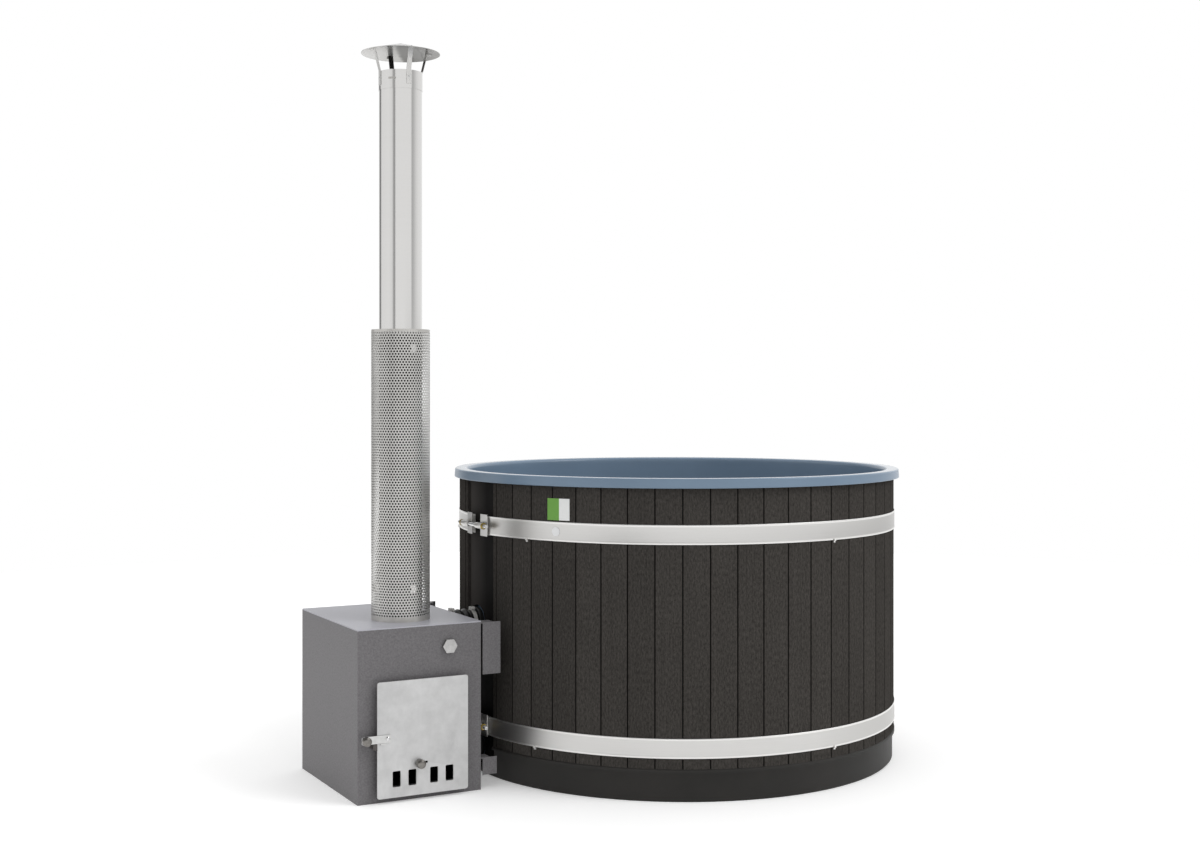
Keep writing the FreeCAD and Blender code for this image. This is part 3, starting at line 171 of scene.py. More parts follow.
def arc(centre, radius, start, end, steps):
    """Points of an arc in a profile, angles in degrees."""
    points = []
    for k in range(steps + 1):
        angle = math.radians(start + (end - start) * k / steps)
        points.append((centre[0] + radius * math.cos(angle), centre[1] + radius * math.sin(angle)))
    return points


def piece(name, shape, material, stands_for=(), body=ROOT, sharp=35):
    """A finished piece that rides on a CAD body."""
    mesh = shape if isinstance(shape, bpy.types.Mesh) else mesh_of(name, *shape, sharp=sharp)
    made = bpy.data.objects.new(name, mesh)
    bpy.context.scene.collection.objects.link(made)
    mesh.materials.clear()
    mesh.materials.append(material)
    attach(made, body)
    if stands_for:
        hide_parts(*stands_for)
    return made


def softened(node, look, edge=0.0, sharp=32):
    """A CAD node's own shape with smooth round faces and, where asked, broken edges."""
    source = frame["nodes"][node]
    mesh = bpy.data.meshes.new(node + "_skin")
    work = bmesh.new()
    work.from_mesh(source.data)
    bmesh.ops.remove_doubles(work, verts=work.verts, dist=5e-6)
    bmesh.ops.dissolve_limit(work, angle_limit=math.radians(0.3), verts=work.verts, edges=work.edges)
    if edge:
        corners = []
        for side in work.edges:
            if len(side.link_faces) == 2 and side.calc_face_angle(0) > math.radians(sharp):
                corners.append(side)
        bmesh.ops.bevel(work, geom=corners, offset=edge, offset_type="OFFSET", segments=1, profile=0.5,
                        affect="EDGES", clamp_overlap=True)
    work.to_mesh(mesh)
    work.free()
    mesh.shade_smooth()
    mesh.set_sharp_from_angle(angle=math.radians(sharp))
    return piece(node + "_skin", mesh, look, (node,), body_of[node])


# Shader tools

def linear(red, green, blue):
    """A colour as seen in a picture, 0 to 255, for a shader."""
    values = []
    for value in (red, green, blue):
        share = value / 255
        values.append(share / 12.92 if share <= 0.04045 else ((share + 0.055) / 1.055) ** 2.4)
    return (*values, 1)


def add(tree, kind, inputs=None, **settings):
    """A node with its settings and inputs; an input is a value or another node's socket."""
    made = tree.nodes.new(kind)
    for key, value in settings.items():
        setattr(made, key, value)
    for key, value in (inputs or {}).items():
        if isinstance(value, bpy.types.NodeSocket):
            tree.links.new(value, made.inputs[key])
        else:
            made.inputs[key].default_value = value
    return made


def maths(tree, operation, first, second=None):
    """The result of one sum on numbers or sockets."""
    inputs = {0: first} if second is None else {0: first, 1: second}
    return add(tree, "ShaderNodeMath", inputs, operation=operation).outputs[0]


def graded(tree, value, start, end, first=0.0, second=1.0):
    """A value that goes evenly from one number to another between two places."""
    inputs = {"Value": value, "From Min": start, "From Max": end, "To Min": first, "To Max": second}
    return add(tree, "ShaderNodeMapRange", inputs).outputs[0]


def dot(tree, vector, way):
    """How far a vector reaches along a direction."""
    made = add(tree, "ShaderNodeVectorMath", {0: vector, 1: way}, operation="DOT_PRODUCT")
    return made.outputs["Value"]


def colour_ramp(tree, value, stops):
    """A colour read off (place, colour) stops by a value from 0 to 1."""
    made = add(tree, "ShaderNodeValToRGB", {0: value})
    marks = made.color_ramp.elements
    marks[0].color = stops[0][1]
    marks[1].color = stops[-1][1]
    for place, colour in stops[1:-1]:
        marks.new(place).color = colour
    return made.outputs[0]


def group_tree(name, inputs, outputs):
    """A shader node group with named sockets."""
    tree = bpy.data.node_groups.new(name, "ShaderNodeTree")
    for label, kind, value in inputs:
        socket = tree.interface.new_socket(label, in_out="INPUT", socket_type=kind)
        if value is not None:
            socket.default_value = value
    for label, kind in outputs:
        tree.interface.new_socket(label, in_out="OUTPUT", socket_type=kind)
    source = tree.nodes.new("NodeGroupInput").outputs
    sink = tree.nodes.new("NodeGroupOutput").inputs
    return tree, source, sink


def mottle_group():
    """Soft cloudy patches as a mask from 0 to 1."""
    tree, source, sink = group_tree(
        "Mottle",
        [("Vector", "NodeSocketVector", None), ("Scale", "NodeSocketFloat", 6.0),
         ("Low", "NodeSocketFloat", 0.35), ("High", "NodeSocketFloat", 0.65)],
        [("Mask", "NodeSocketFloat")])
    noise = add(tree, "ShaderNodeTexNoise", {"Vector": source["Vector"], "Scale": source["Scale"],
                                             "Detail": 5.0, "Roughness": 0.6})
    mask = graded(tree, noise.outputs[0], source["Low"], source["High"])
    tree.links.new(mask, sink["Mask"])
    return tree


def unroll_group():
    """A round wall laid flat: X along the wall in metres, Y the radius, Z the height."""
    tree, source, sink = group_tree(
        "Unroll",
        [("Vector", "NodeSocketVector", None), ("Axis place", "NodeSocketVector", None)],
        [("Flat", "NodeSocketVector"), ("Angle", "NodeSocketFloat")])
    offset = add(tree, "ShaderNodeVectorMath", {0: source["Vector"], 1: source["Axis place"]},
                 operation="SUBTRACT")
    parts = add(tree, "ShaderNodeSeparateXYZ", {0: offset.outputs[0]}).outputs
    angle = maths(tree, "ARCTAN2", parts[1], parts[0])
    square = maths(tree, "ADD", maths(tree, "MULTIPLY", parts[0], parts[0]),
                   maths(tree, "MULTIPLY", parts[1], parts[1]))
    radius = maths(tree, "SQRT", square)
    flat = add(tree, "ShaderNodeCombineXYZ", {0: maths(tree, "MULTIPLY", angle, radius), 1: radius,
                                              2: parts[2]})
    tree.links.new(flat.outputs[0], sink["Flat"])
    tree.links.new(angle, sink["Angle"])
    return tree


def streaks_group():
    """Fine parallel lines as a value from 0 to 1; Stretch sets how many per metre along each axis."""
    tree, source, sink = group_tree(
        "Streaks",
        [("Vector", "NodeSocketVector", None), ("Stretch", "NodeSocketVector", None),
         ("Rough", "NodeSocketFloat", 0.6)],
        [("Lines", "NodeSocketFloat")])
    pulled = add(tree, "ShaderNodeVectorMath", {0: source["Vector"], 1: source["Stretch"]},
                 operation="MULTIPLY")
    noise = add(tree, "ShaderNodeTexNoise", {"Vector": pulled.outputs[0], "Scale": 1.0, "Detail": 6.0,
                                             "Roughness": source["Rough"]})
    tree.links.new(noise.outputs[0], sink["Lines"])
    return tree


def flue_place_group():
    """How far a point lies to the right of the flue's axis and behind it, as the photo sees it."""
    tree, source, sink = group_tree(
        "Flue place",
        [("Vector", "NodeSocketVector", None), ("Axis place", "NodeSocketVector", None)],
        [("Right", "NodeSocketFloat"), ("Behind", "NodeSocketFloat"), ("Height", "NodeSocketFloat")])
    offset = add(tree, "ShaderNodeVectorMath", {0: source["Vector"], 1: source["Axis place"]},
                 operation="SUBTRACT").outputs[0]
    for label, way in (("Right", CAMERA_RIGHT), ("Behind", CAMERA_AHEAD), ("Height", (0, 0, 1))):
        tree.links.new(dot(tree, offset, way), sink[label])
    return tree


MOTTLE = mottle_group()
UNROLL = unroll_group()
FLUE_PLACE = flue_place_group()
STREAKS = streaks_group()


def use(tree, group, inputs):
    """The outputs of a shared node group with these inputs."""
    return add(tree, "ShaderNodeGroup", inputs, node_tree=group).outputs


def new_material(name, roughness, metallic=0.0, specular=0.5):
    """A material with its Principled shader and its object coordinates."""
    material = bpy.data.materials.new(name)
    material.use_nodes = True
    tree = material.node_tree
    shader = tree.nodes["Principled BSDF"]
    shader.inputs["Roughness"].default_value = roughness
    shader.inputs["Metallic"].default_value = metallic
    shader.inputs["Specular IOR Level"].default_value = specular
    place = tree.nodes.new("ShaderNodeTexCoord").outputs["Object"]
    return material, tree, shader, place


def blend_of(tree, mask, first, second):
    """A colour between two, by a mask."""
    return add(tree, "ShaderNodeMix", {0: mask, 6: first, 7: second}, data_type="RGBA").outputs[2]


def bumped(tree, shader, height, strength, distance):
    """Gives a shader a fine relief."""
    bump = add(tree, "ShaderNodeBump", {"Height": height, "Strength": strength, "Distance": distance})
    tree.links.new(bump.outputs[0], shader.inputs["Normal"])


def coated(name, dark, light, roughness, patch=8.0, grain=900.0, depth=0.0, specular=0.5,
           metallic=0.0):
    """A paint, plastic or rubber: two close colours in soft patches, and a fine grain."""
    material, tree, shader, place = new_material(name, roughness, metallic, specular)
    mask = use(tree, MOTTLE, {"Vector": place, "Scale": patch})["Mask"]
    tree.links.new(blend_of(tree, mask, linear(*dark), linear(*light)), shader.inputs["Base Color"])
    if depth:
        fine = add(tree, "ShaderNodeTexNoise", {"Vector": place, "Scale": grain, "Detail": 2.0})
        bumped(tree, shader, fine.outputs[0], 0.5, depth)
    return material


def brushed(name, dark, light, roughness, stretch, axis_place, change):
    """Steel with fine brushing lines along a round wall; its roughness changes with them."""
    material, tree, shader, place = new_material(name, roughness, 1.0)
    flat = use(tree, UNROLL, {"Vector": place, "Axis place": axis_place})["Flat"]
    lines = use(tree, STREAKS, {"Vector": flat, "Stretch": stretch})["Lines"]
    tree.links.new(blend_of(tree, lines, linear(*dark), linear(*light)), shader.inputs["Base Color"])
    rough = graded(tree, lines, 0.0, 1.0, roughness - change, roughness + change)
    tree.links.new(rough, shader.inputs["Roughness"])
    return material


# Materials

FLUE_LOW, FLUE_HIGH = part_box("flue_pipe")
FLUE = ((FLUE_LOW.x + FLUE_HIGH.x) / 2, (FLUE_LOW.y + FLUE_HIGH.y) / 2, 0.0)
FLUE_R = (FLUE_HIGH.x - FLUE_LOW.x) / 2
TUB = (0.0, 0.0, 0.0)

plinth_black = coated("plinth_black", (40, 39, 37), (46, 44, 42), 0.55, patch=5, grain=700, depth=0.0002,
                      specular=0.25)
fitting_black = coated("fitting_black", (27, 27, 27), (34, 34, 34), 0.4, patch=20)
hose_rubber = coated("hose_rubber", (22, 22, 22), (29, 29, 29), 0.32, patch=40, grain=500, depth=0.0001)
stove_grey = coated("stove_grey", (99, 97, 99), (117, 115, 117), 0.5, patch=190, grain=260, depth=0.0003,
                    specular=0.4)
# painted light: a paler copy of the stove paint for the casing's top, standing in for the light and sheen it
# catches from above
stove_top_painted_light = coated("stove_top_painted_light", (168, 168, 175), (178, 178, 185), 0.42, patch=190, grain=260, depth=0.0002)
door_pale = coated("door_pale", (193, 193, 193), (208, 208, 208), 0.36, patch=18, grain=600, depth=0.00008,
                   metallic=0.3)
soot = coated("soot", (22, 21, 20), (36, 34, 32), 0.85, patch=12, grain=300, depth=0.0006, specular=0.2)
cast_iron = coated("cast_iron", (34, 33, 32), (52, 50, 47), 0.75, patch=16, grain=350, depth=0.0008)
rope_grey = coated("rope_grey", (66, 66, 66), (92, 91, 89), 0.95, patch=60, grain=700, depth=0.001)
nut_brass = coated("nut_brass", (150, 130, 66), (178, 156, 88), 0.3, patch=90, metallic=1.0)
knob_metal = coated("knob_metal", (116, 113, 109), (138, 135, 131), 0.28, patch=70, metallic=1.0)
plug_steel = coated("plug_steel", (176, 175, 174), (190, 189, 188), 0.35, patch=90, metallic=1.0)
bolt_steel = coated("bolt_steel", (196, 197, 198), (220, 220, 220), 0.22, patch=60, metallic=1.0)
clamp_steel = coated("clamp_steel", (206, 205, 202), (226, 225, 222), 0.3, patch=80, metallic=0.3)
latch_steel = coated("latch_steel", (200, 200, 199), (214, 214, 213), 0.35, patch=50, metallic=0.7)
lug_steel = brushed("lug_steel", (176, 175, 173), (216, 215, 213), 0.3, (500, 1, 6), TUB, 0.08)
sticker_white = coated("sticker_white", (232, 233, 234), (240, 241, 242), 0.4, patch=20)
flue_steel = brushed("flue_steel", (212, 211, 209), (218, 217, 216), 0.12, (2, 1, 300), FLUE, 0.03)
guard_steel = coated("guard_steel", (196, 195, 192), (206, 205, 202), 0.38, patch=8, metallic=0.66)
band_steel = coated("band_steel", (184, 182, 178), (204, 202, 198), 0.34, patch=24, metallic=0.5)
keeper_dark = coated("keeper_dark", (74, 70, 69), (92, 88, 86), 0.4, patch=60, metallic=0.6)
hat_steel = brushed("hat_steel", (206, 205, 202), (216, 215, 213), 0.1, (30, 300, 30), FLUE, 0.03)
# painted shade: the flue inside the heat guard is near black, so the holes look dark
flue_painted_shade = coated("flue_painted_shade", (14, 13, 12), (24, 22, 21), 0.7, patch=14)


def board_material():
    """Dark stained boards: a tone for each board, short fibres, faint long grain, dark joints."""
    material, tree, shader, place = new_material("board_dark", 0.7, specular=0.0)
    flat = use(tree, UNROLL, {"Vector": place, "Axis place": TUB})
    pitch = math.radians(360 / BOARD_COUNT)
    from_channel = maths(tree, "SUBTRACT", flat["Angle"], math.radians(CHANNEL_TURN))
    turn = maths(tree, "DIVIDE", from_channel, pitch)
    board = maths(tree, "FLOOR", maths(tree, "ADD", turn, 0.5))
    tone = add(tree, "ShaderNodeTexWhiteNoise", {"W": board}, noise_dimensions="1D").outputs["Value"]
    moved = add(tree, "ShaderNodeCombineXYZ", {0: tone, 1: tone, 2: maths(tree, "MULTIPLY", tone, 40)})
    own = add(tree, "ShaderNodeVectorMath", {0: flat["Flat"], 1: moved.outputs[0]}, operation="ADD")
    fibres = use(tree, STREAKS, {"Vector": own.outputs[0], "Stretch": (190, 0, 75), "Rough": 0.75})["Lines"]
    grain = use(tree, STREAKS, {"Vector": own.outputs[0], "Stretch": (110, 0, 2.0), "Rough": 0.6})["Lines"]
    cloud = use(tree, MOTTLE, {"Vector": own.outputs[0], "Scale": 7.0, "Low": 0.3, "High": 0.7})["Mask"]
    stain = blend_of(tree, graded(tree, fibres, 0.36, 0.64), linear(51, 49, 47), linear(76, 73, 70))
    long_grain = graded(tree, grain, 0.36, 0.64, 0.92, 1.06)
    shade = graded(tree, tone, 0.0, 1.0, 0.92, 1.06)
    patch = graded(tree, cloud, 0.0, 1.0, 0.93, 1.05)
    from_middle = maths(tree, "ABSOLUTE", maths(tree, "SUBTRACT", turn, board))
    joint = graded(tree, from_middle, 0.466, 0.482, 1.0, 0.22)
    level = maths(tree, "MULTIPLY", maths(tree, "MULTIPLY", long_grain, shade),
                  maths(tree, "MULTIPLY", patch, joint))
    colour = add(tree, "ShaderNodeVectorMath", {0: stain, 1: level}, operation="MULTIPLY")
    tree.links.new(colour.outputs[0], shader.inputs["Base Color"])
    bumped(tree, shader, maths(tree, "ADD", grain, fibres), 0.5, 0.0003)
    return material


def tub_material():
    """Glass-fibre shell: satin inside and on the skirt, polished on the flat top of the rim."""
    material, tree, shader, place = new_material("tub_blue", 0.28)
    mask = use(tree, MOTTLE, {"Vector": place, "Scale": 2.0})["Mask"]
    colour = blend_of(tree, mask, linear(111, 131, 151), linear(117, 138, 159))
    tree.links.new(colour, shader.inputs["Base Color"])
    height = add(tree, "ShaderNodeSeparateXYZ", {0: place}).outputs[2]
    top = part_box("tub_rim")[1].z
    rough = graded(tree, height, top - 3 * MM, top - 0.5 * MM, 0.28, 0.09)
    tree.links.new(rough, shader.inputs["Roughness"])
    return material


def panel_material():
    """The smooth dark panel in the channel, with painted shade: paler towards the side that the light
    reaches, darker towards the other.
    """
    material, tree, shader, place = new_material("panel_dark", 0.6, specular=0.02)
    side = add(tree, "ShaderNodeSeparateXYZ", {0: place}).outputs[1]
    cloud = use(tree, MOTTLE, {"Vector": place, "Scale": 5.0})["Mask"]
    # painted shade: the colour grows paler along Y towards the side the light reaches, with soft patches
    # added
    share = maths(tree, "ADD", graded(tree, side, -0.02, 0.1, 0.0, 0.9),
                  maths(tree, "MULTIPLY", cloud, 0.1))
    colour = blend_of(tree, share, linear(24, 23, 23), linear(69, 66, 64))
    tree.links.new(colour, shader.inputs["Base Color"])
    return material


def hoop_material():
    """Brushed steel strip, with a painted highlight on the two rolled hems and a painted darker reflection
    towards the camera's right side.
    """
    material, tree, shader, place = new_material("hoop_steel", 0.38, 1.0)
    flat = use(tree, UNROLL, {"Vector": place, "Axis place": TUB})["Flat"]
    lines = use(tree, STREAKS, {"Vector": flat, "Stretch": (3, 1, 700)})["Lines"]
    height = add(tree, "ShaderNodeSeparateXYZ", {0: place}).outputs[2]
    reach = None
    for node in HOOPS:
        low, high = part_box(node)
        away = maths(tree, "ABSOLUTE", maths(tree, "SUBTRACT", height, (low.z + high.z) / 2))
        reach = away if reach is None else maths(tree, "MINIMUM", reach, away)
    # painted highlight: a paler steel on the two rolled hems
    hem = graded(tree, reach, 24.5 * MM, 26 * MM)
    # painted darker reflection: the steel darkens towards the camera's right side
    right_side_shade = graded(tree, dot(tree, place, CAMERA_RIGHT), 0.42, 0.7)
    bright = blend_of(tree, lines, linear(203, 202, 200), linear(213, 212, 210))
    steel = blend_of(tree, right_side_shade, bright, linear(190, 189, 187))
    tree.links.new(blend_of(tree, hem, steel, linear(232, 231, 229)), shader.inputs["Base Color"])
    return material


def label_material():
    """A bare label plate in two plain colours."""
    material, tree, shader, place = new_material("label_plain", 0.4)
    angle = use(tree, UNROLL, {"Vector": place, "Axis place": TUB})["Angle"]
    turn = math.radians(LABEL_TURN - 360)
    part = graded(tree, angle, turn + 0.0035, turn + 0.0045)
    colour = blend_of(tree, part, linear(104, 160, 62), linear(238, 239, 238))
    tree.links.new(colour, shader.inputs["Base Color"])
    return material


# Painted reflection tones of the hat's underside, by the share of its width from the camera's left
HAT_REFLECTION_TONES = (
    (0.24, 202), (0.41, 190), (0.45, 128), (0.47, 114), (0.55, 112),
    (0.57, 84), (0.59, 118), (0.7, 126), (0.72, 96), (0.74, 128),
)


def hat_underside_material():
    """The hat's mirror-bright underside with painted reflections: pale on the left, grey over the flue and on
    the right.
    """
    material, tree, shader, place = new_material("hat_underside_reflection", 0.3, 0.6)
    at = use(tree, FLUE_PLACE, {"Vector": place, "Axis place": FLUE})
    cloud = use(tree, MOTTLE, {"Vector": place, "Scale": 16.0})["Mask"]
    swept = maths(tree, "SUBTRACT", at["Right"], maths(tree, "MULTIPLY", at["Behind"], 0.1))
    mottled = maths(tree, "ADD", swept, maths(tree, "MULTIPLY", cloud, 0.012))
    stops = [(0.0, linear(214, 213, 211))]
    for share, tone in HAT_REFLECTION_TONES:
        stops.append((share, linear(tone, tone - 1, tone - 4)))
    stops.append((1.0, linear(150, 148, 145)))
    colour = colour_ramp(tree, graded(tree, mottled, -0.127, 0.133), stops)
    tree.links.new(colour, shader.inputs["Base Color"])
    return material


def hat_leg_material():
    """Pale steel straps, with painted shade: the one behind the flue and the one on the right are painted
    dark.
    """
    material, tree, shader, place = new_material("hat_leg_painted_shade", 0.4, 0.3)
    at = use(tree, FLUE_PLACE, {"Vector": place, "Axis place": FLUE})
    cloud = use(tree, MOTTLE, {"Vector": place, "Scale": 60.0})["Mask"]
    pale = blend_of(tree, cloud, linear(212, 211, 209), linear(224, 223, 221))
    top = FLUE_HIGH.z
    # painted shade: the strap behind the flue, above the flue's top
    behind = maths(tree, "MULTIPLY", graded(tree, at["Behind"], 0.05, 0.055),
                   graded(tree, at["Height"], top, top + 2 * MM))
    dark_from = graded(tree, at["Height"], top + 8 * MM, top + 14 * MM)
    dark_to = graded(tree, at["Height"], top + 44 * MM, top + 54 * MM, 1.0, 0.0)
    # painted shade: the strap on the right, over a band of height
    right = maths(tree, "MULTIPLY", graded(tree, at["Right"], 0.055, 0.06),
                  maths(tree, "MULTIPLY", dark_from, dark_to))
    shaded = blend_of(tree, right, pale, linear(62, 54, 50))
    tree.links.new(blend_of(tree, behind, shaded, linear(24, 22, 20)), shader.inputs["Base Color"])
    return material


board_dark = board_material()
hat_underside_reflection = hat_underside_material()
hat_leg_painted_shade = hat_leg_material()
tub_blue = tub_material()
panel_dark = panel_material()
hoop_steel = hoop_material()
label_plain = label_material()

SLOT_LOOKS = {
    "shell_blue": tub_blue, "wood_dark": board_dark, "black_plastic": plinth_black, "panel_dark": panel_dark,
    "hoop_steel": hoop_steel, "bolt_steel": bolt_steel, "nut_brass": nut_brass, "hose_rubber": hose_rubber,
    "fitting_black": fitting_black, "stove_paint": stove_grey, "door_paint": door_pale, "fire_steel": soot,
    "fire_iron": cast_iron, "seal_rope": rope_grey, "latch_steel": latch_steel, "knob_metal": knob_metal,
    "flue_steel": flue_steel,
}
slot_of = {row["node"]: row["material_slot"] for row in frame["record"]["subparts"]}
body_of = {}
for name, made in frame["nodes"].items():
    made.data.materials.clear()
    # the casing's top takes the paler copy of the paint: painted light
    made.data.materials.append(stove_top_painted_light if name == "casing_top" else SLOT_LOOKS[slot_of[name]])
    body_of[name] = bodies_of(made)[0]


# Pieces that keep the CAD shape, with smooth faces and broken edges

for node, look, edge in (
    ("tub_floor", tub_blue, 0),
    ("bench_insert", tub_blue, 0),
    ("base_plinth", plinth_black, 0),
    ("tension_rods", bolt_steel, 0),
    ("fitting_locknuts", fitting_black, 0),
    ("stove_stubs", stove_grey, 0),
    ("latch_rivet", bolt_steel, 0),
    ("hat_rivets", bolt_steel, 0),
    ("hat_collar", flue_steel, 0),
    ("hat_legs", hat_leg_painted_shade, 0),
    ("door_plate", door_pale, 0.5 * MM),
    ("latch_lever", latch_steel, 0.6 * MM),
    ("latch_keeper", keeper_dark, 0.6 * MM),
):
    softened(node, look, edge)


def round_wall():
    """The tub wall with normals that follow its true round, also beside the water fittings."""
    mesh = softened("tub_wall", tub_blue).data
    upright = 0.7
    normals = [Vector(corner.vector) for corner in mesh.corner_normals]
    for side in mesh.polygons:
        for k in side.loop_indices:
            out = mesh.vertices[mesh.loops[k].vertex_index].co.copy()
            out.z = 0
            out.normalize()
            facing = side.normal.dot(out)
            if abs(facing) > upright:
                normals[k] = out if facing > 0 else -out
    mesh.normals_split_custom_set(normals)


round_wall()


# Tub fittings

def rim():
    """The tub's rim: a flat top, a small outer round over a sloped skirt, and a soft inner edge."""
    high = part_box("tub_rim")[1]
    profile = [(-42.4, -24), (-38, -8), (-11.2, -8), (-8, -31), (-2, -31)]
    profile += arc((-2, -29), 2, -67, 0, 3)
    profile += [(-0.4, -20), (-1.8, -7)]
    profile += arc((-6.8, -5), 5, 8, 90, 6)
    profile += arc((-37, -13), 13, 90, 180, 10)
    profile += [(-50, -24)]
    rolled = turned(scaled(profile, high.y, high.z), TUB, "Z", 256)
    piece("tub_rim_roll", rolled, tub_blue, ("tub_rim",), sharp=45)


def bent_plate(radii, width, height, steps=8):
    """A plate bent round the tub on its channel side, from one Y to another."""
    inner, outer = radii
    verts = []
    for k in range(steps + 1):
        y = width[0] + (width[1] - width[0]) * k / steps
        for radius, z in ((inner, height[0]), (outer, height[0]), (outer, height[1]), (inner, height[1])):
            verts.append((-math.sqrt(radius * radius - y * y), y, z))
    return verts, strip_faces(4, steps)


def block(low, high):
    """A plain box between two corners."""
    verts = []
    for x in (low[0], high[0]):
        for y in (low[1], high[1]):
            verts += [(x, y, low[2]), (x, y, high[2])]
    return verts, [(0, 1, 3, 2), (4, 6, 7, 5), (0, 4, 5, 1), (2, 3, 7, 6), (0, 2, 6, 4), (1, 5, 7, 3)]


# The hoops' tensioners: their middle, half the gap, a lug from the middle, the sleeve off the hoop
TENSION_Y = 2 * MM
HOOP_GAP = 24 * MM
LUG_MIDDLE = 57.5 * MM
SLEEVE_AXIS = 19 * MM
SLEEVE_HALF = 29


def hoop(node):
    """A flat steel hoop with a rolled hem on each edge, open at the tensioner."""
    low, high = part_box(node)
    edge = [(-2, 0.6), (-1.2, 0), (-0.6, 0.3), (-0.1, 1.4), (0, 3), (-0.1, 5.4), (-0.6, 7.2), (-0.7, 8.2)]
    profile = scaled(edge, high.x, low.z) + scaled(reversed(edge), high.x, high.z, -1)
    start = -math.pi + math.asin((HOOP_GAP - TENSION_Y) / high.x)
    end = math.pi - math.asin((HOOP_GAP + TENSION_Y) / high.x)
    steps = 240
    verts = []
    for k in range(steps + 1):
        angle = start + (end - start) * k / steps
        verts += [placed("Z", radius, along, angle) for radius, along in profile]
    faces = strip_faces(len(profile), steps)
    piece(node + "_band", (verts, faces), hoop_steel, (node,), sharp=50)


def hoop_lugs():
    """Each hoop end: a strap that stands off the hoop, and the sleeve that takes the rod."""
    end = SLEEVE_HALF
    sleeve = scaled([(6.2, -end), (8.4, -end), (9.2, 0.8 - end), (11, -15), (11, 15), (9.2, end - 0.8),
                     (8.4, end), (6.2, end)])
    parts = []
    for node in HOOPS:
        low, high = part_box(node)
        face = high.x
        middle = (low.z + high.z) / 2
        axis = -(face + SLEEVE_AXIS)
        strap = (face + 4.3 * MM, face + 6.5 * MM)
        pad = (face - 0.5 * MM, face + 4.5 * MM)
        for side in (-1, 1):
            y = TENSION_Y + LUG_MIDDLE * side
            parts.append(bent_plate(strap, spread(y, 23.5 * MM), spread(middle, 36.5 * MM)))
            parts.append(bent_plate(pad, spread(y, 15 * MM), spread(middle, 33 * MM)))
            parts.append(block((axis, y - 16 * MM, middle - 6 * MM), (-face, y + 16 * MM, middle + 6 * MM)))
            parts.append(turned(sleeve, (axis, y, middle), "Y", 32))
    piece("tension_lugs", joined(*parts), lug_steel, ("hoop_lugs",))


def label_plate():
    """A bare plate across two boards, above the upper hoop."""
    inner, outer = 780.3 * MM, 781.4 * MM
    half = math.degrees(42 * MM / 0.7813)
    plate = sector(inner, outer, *spread(LABEL_TURN, half), 878 * MM, 948 * MM)
    piece("label_plate", plate, label_plain)


def hoop_sticker():
    """A bare round sticker on the upper hoop."""
    low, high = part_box("upper_hoop")
    turn = math.radians(STICKER_TURN)
    middle = (low.z + high.z) / 2
    steps = 32
    rings = ((0.0005, 0.35), (8, 0.35), (14.5, 0.35), (15, -0.1))
    verts = []
    faces = []
    for radius, rise in rings:
        for k in range(steps):
            angle = 2 * math.pi * k / steps
            verts.append(placed("Z", high.x + rise * MM, middle + radius * MM * math.sin(angle),
                                turn + radius * MM * math.cos(angle) / high.x))
    for ring in range(len(rings) - 1):
        base = steps * ring
        for k in range(steps):
            j = (k + 1) % steps
            faces.append((base + k, base + j, base + steps + j, base + steps + k))
    faces.append(tuple(range(steps)))
    piece("hoop_sticker", (verts, faces), sticker_white)


def tension_nuts():
    """A brass flange nut on each sleeve, with a small steel lock nut in front of it."""
    flange = [(6.1, 0), (11, 0), (11, 3.6), (10, 4.6), (6.1, 4.6)]
    lock = [(6.1, 4.6), (8, 4.6), (8, 9.5), (7.2, 10.3), (6.1, 10.3)]
    brass = []
    steel = []
    for node in HOOPS:
        low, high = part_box(node)
        axis = (-(high.x + SLEEVE_AXIS), 0, (low.z + high.z) / 2)
        for side in (-1, 1):
            seat = TENSION_Y + (LUG_MIDDLE + SLEEVE_HALF * MM) * side
            brass.append(turned(scaled(flange, 0, seat, side), axis, "Y", 40))
            steel.append(turned(scaled(lock, 0, seat, side), axis, "Y", 6))
    piece("flange_nuts", joined(*brass), nut_brass, ("tension_nuts",))
    piece("lock_nuts", joined(*steel), bolt_steel)


rim()
hoop_sticker()
tension_nuts()
hoop("upper_hoop")
hoop("lower_hoop")
hoop_lugs()
label_plate()


# Stove fittings

def knob(node, shank, neck):
    """A turned knob with a domed face and a straight side, on a thin shank."""
    low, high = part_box(node)
    centre = ((low.x + high.x) / 2, 0, (low.z + high.z) / 2)
    radius = 14.4 * MM
    dome = 5.5 * MM
    steps = 10
    profile = []
    for k in range(steps + 1):
        angle = math.radians(90 * k / steps)
        profile.append((radius * math.sin(angle), low.y + dome * (1 - math.cos(angle))))
    profile += [(radius, neck - 2.5 * MM), (radius - 0.8 * MM, neck - 0.8 * MM), (radius - 2.5 * MM, neck),
                (shank, neck), (shank, high.y), (0, high.y)]
    shape = turned(profile, centre, "Y", 48)
    piece(node + "_turned", shape, knob_metal, (node,), body_of[node])


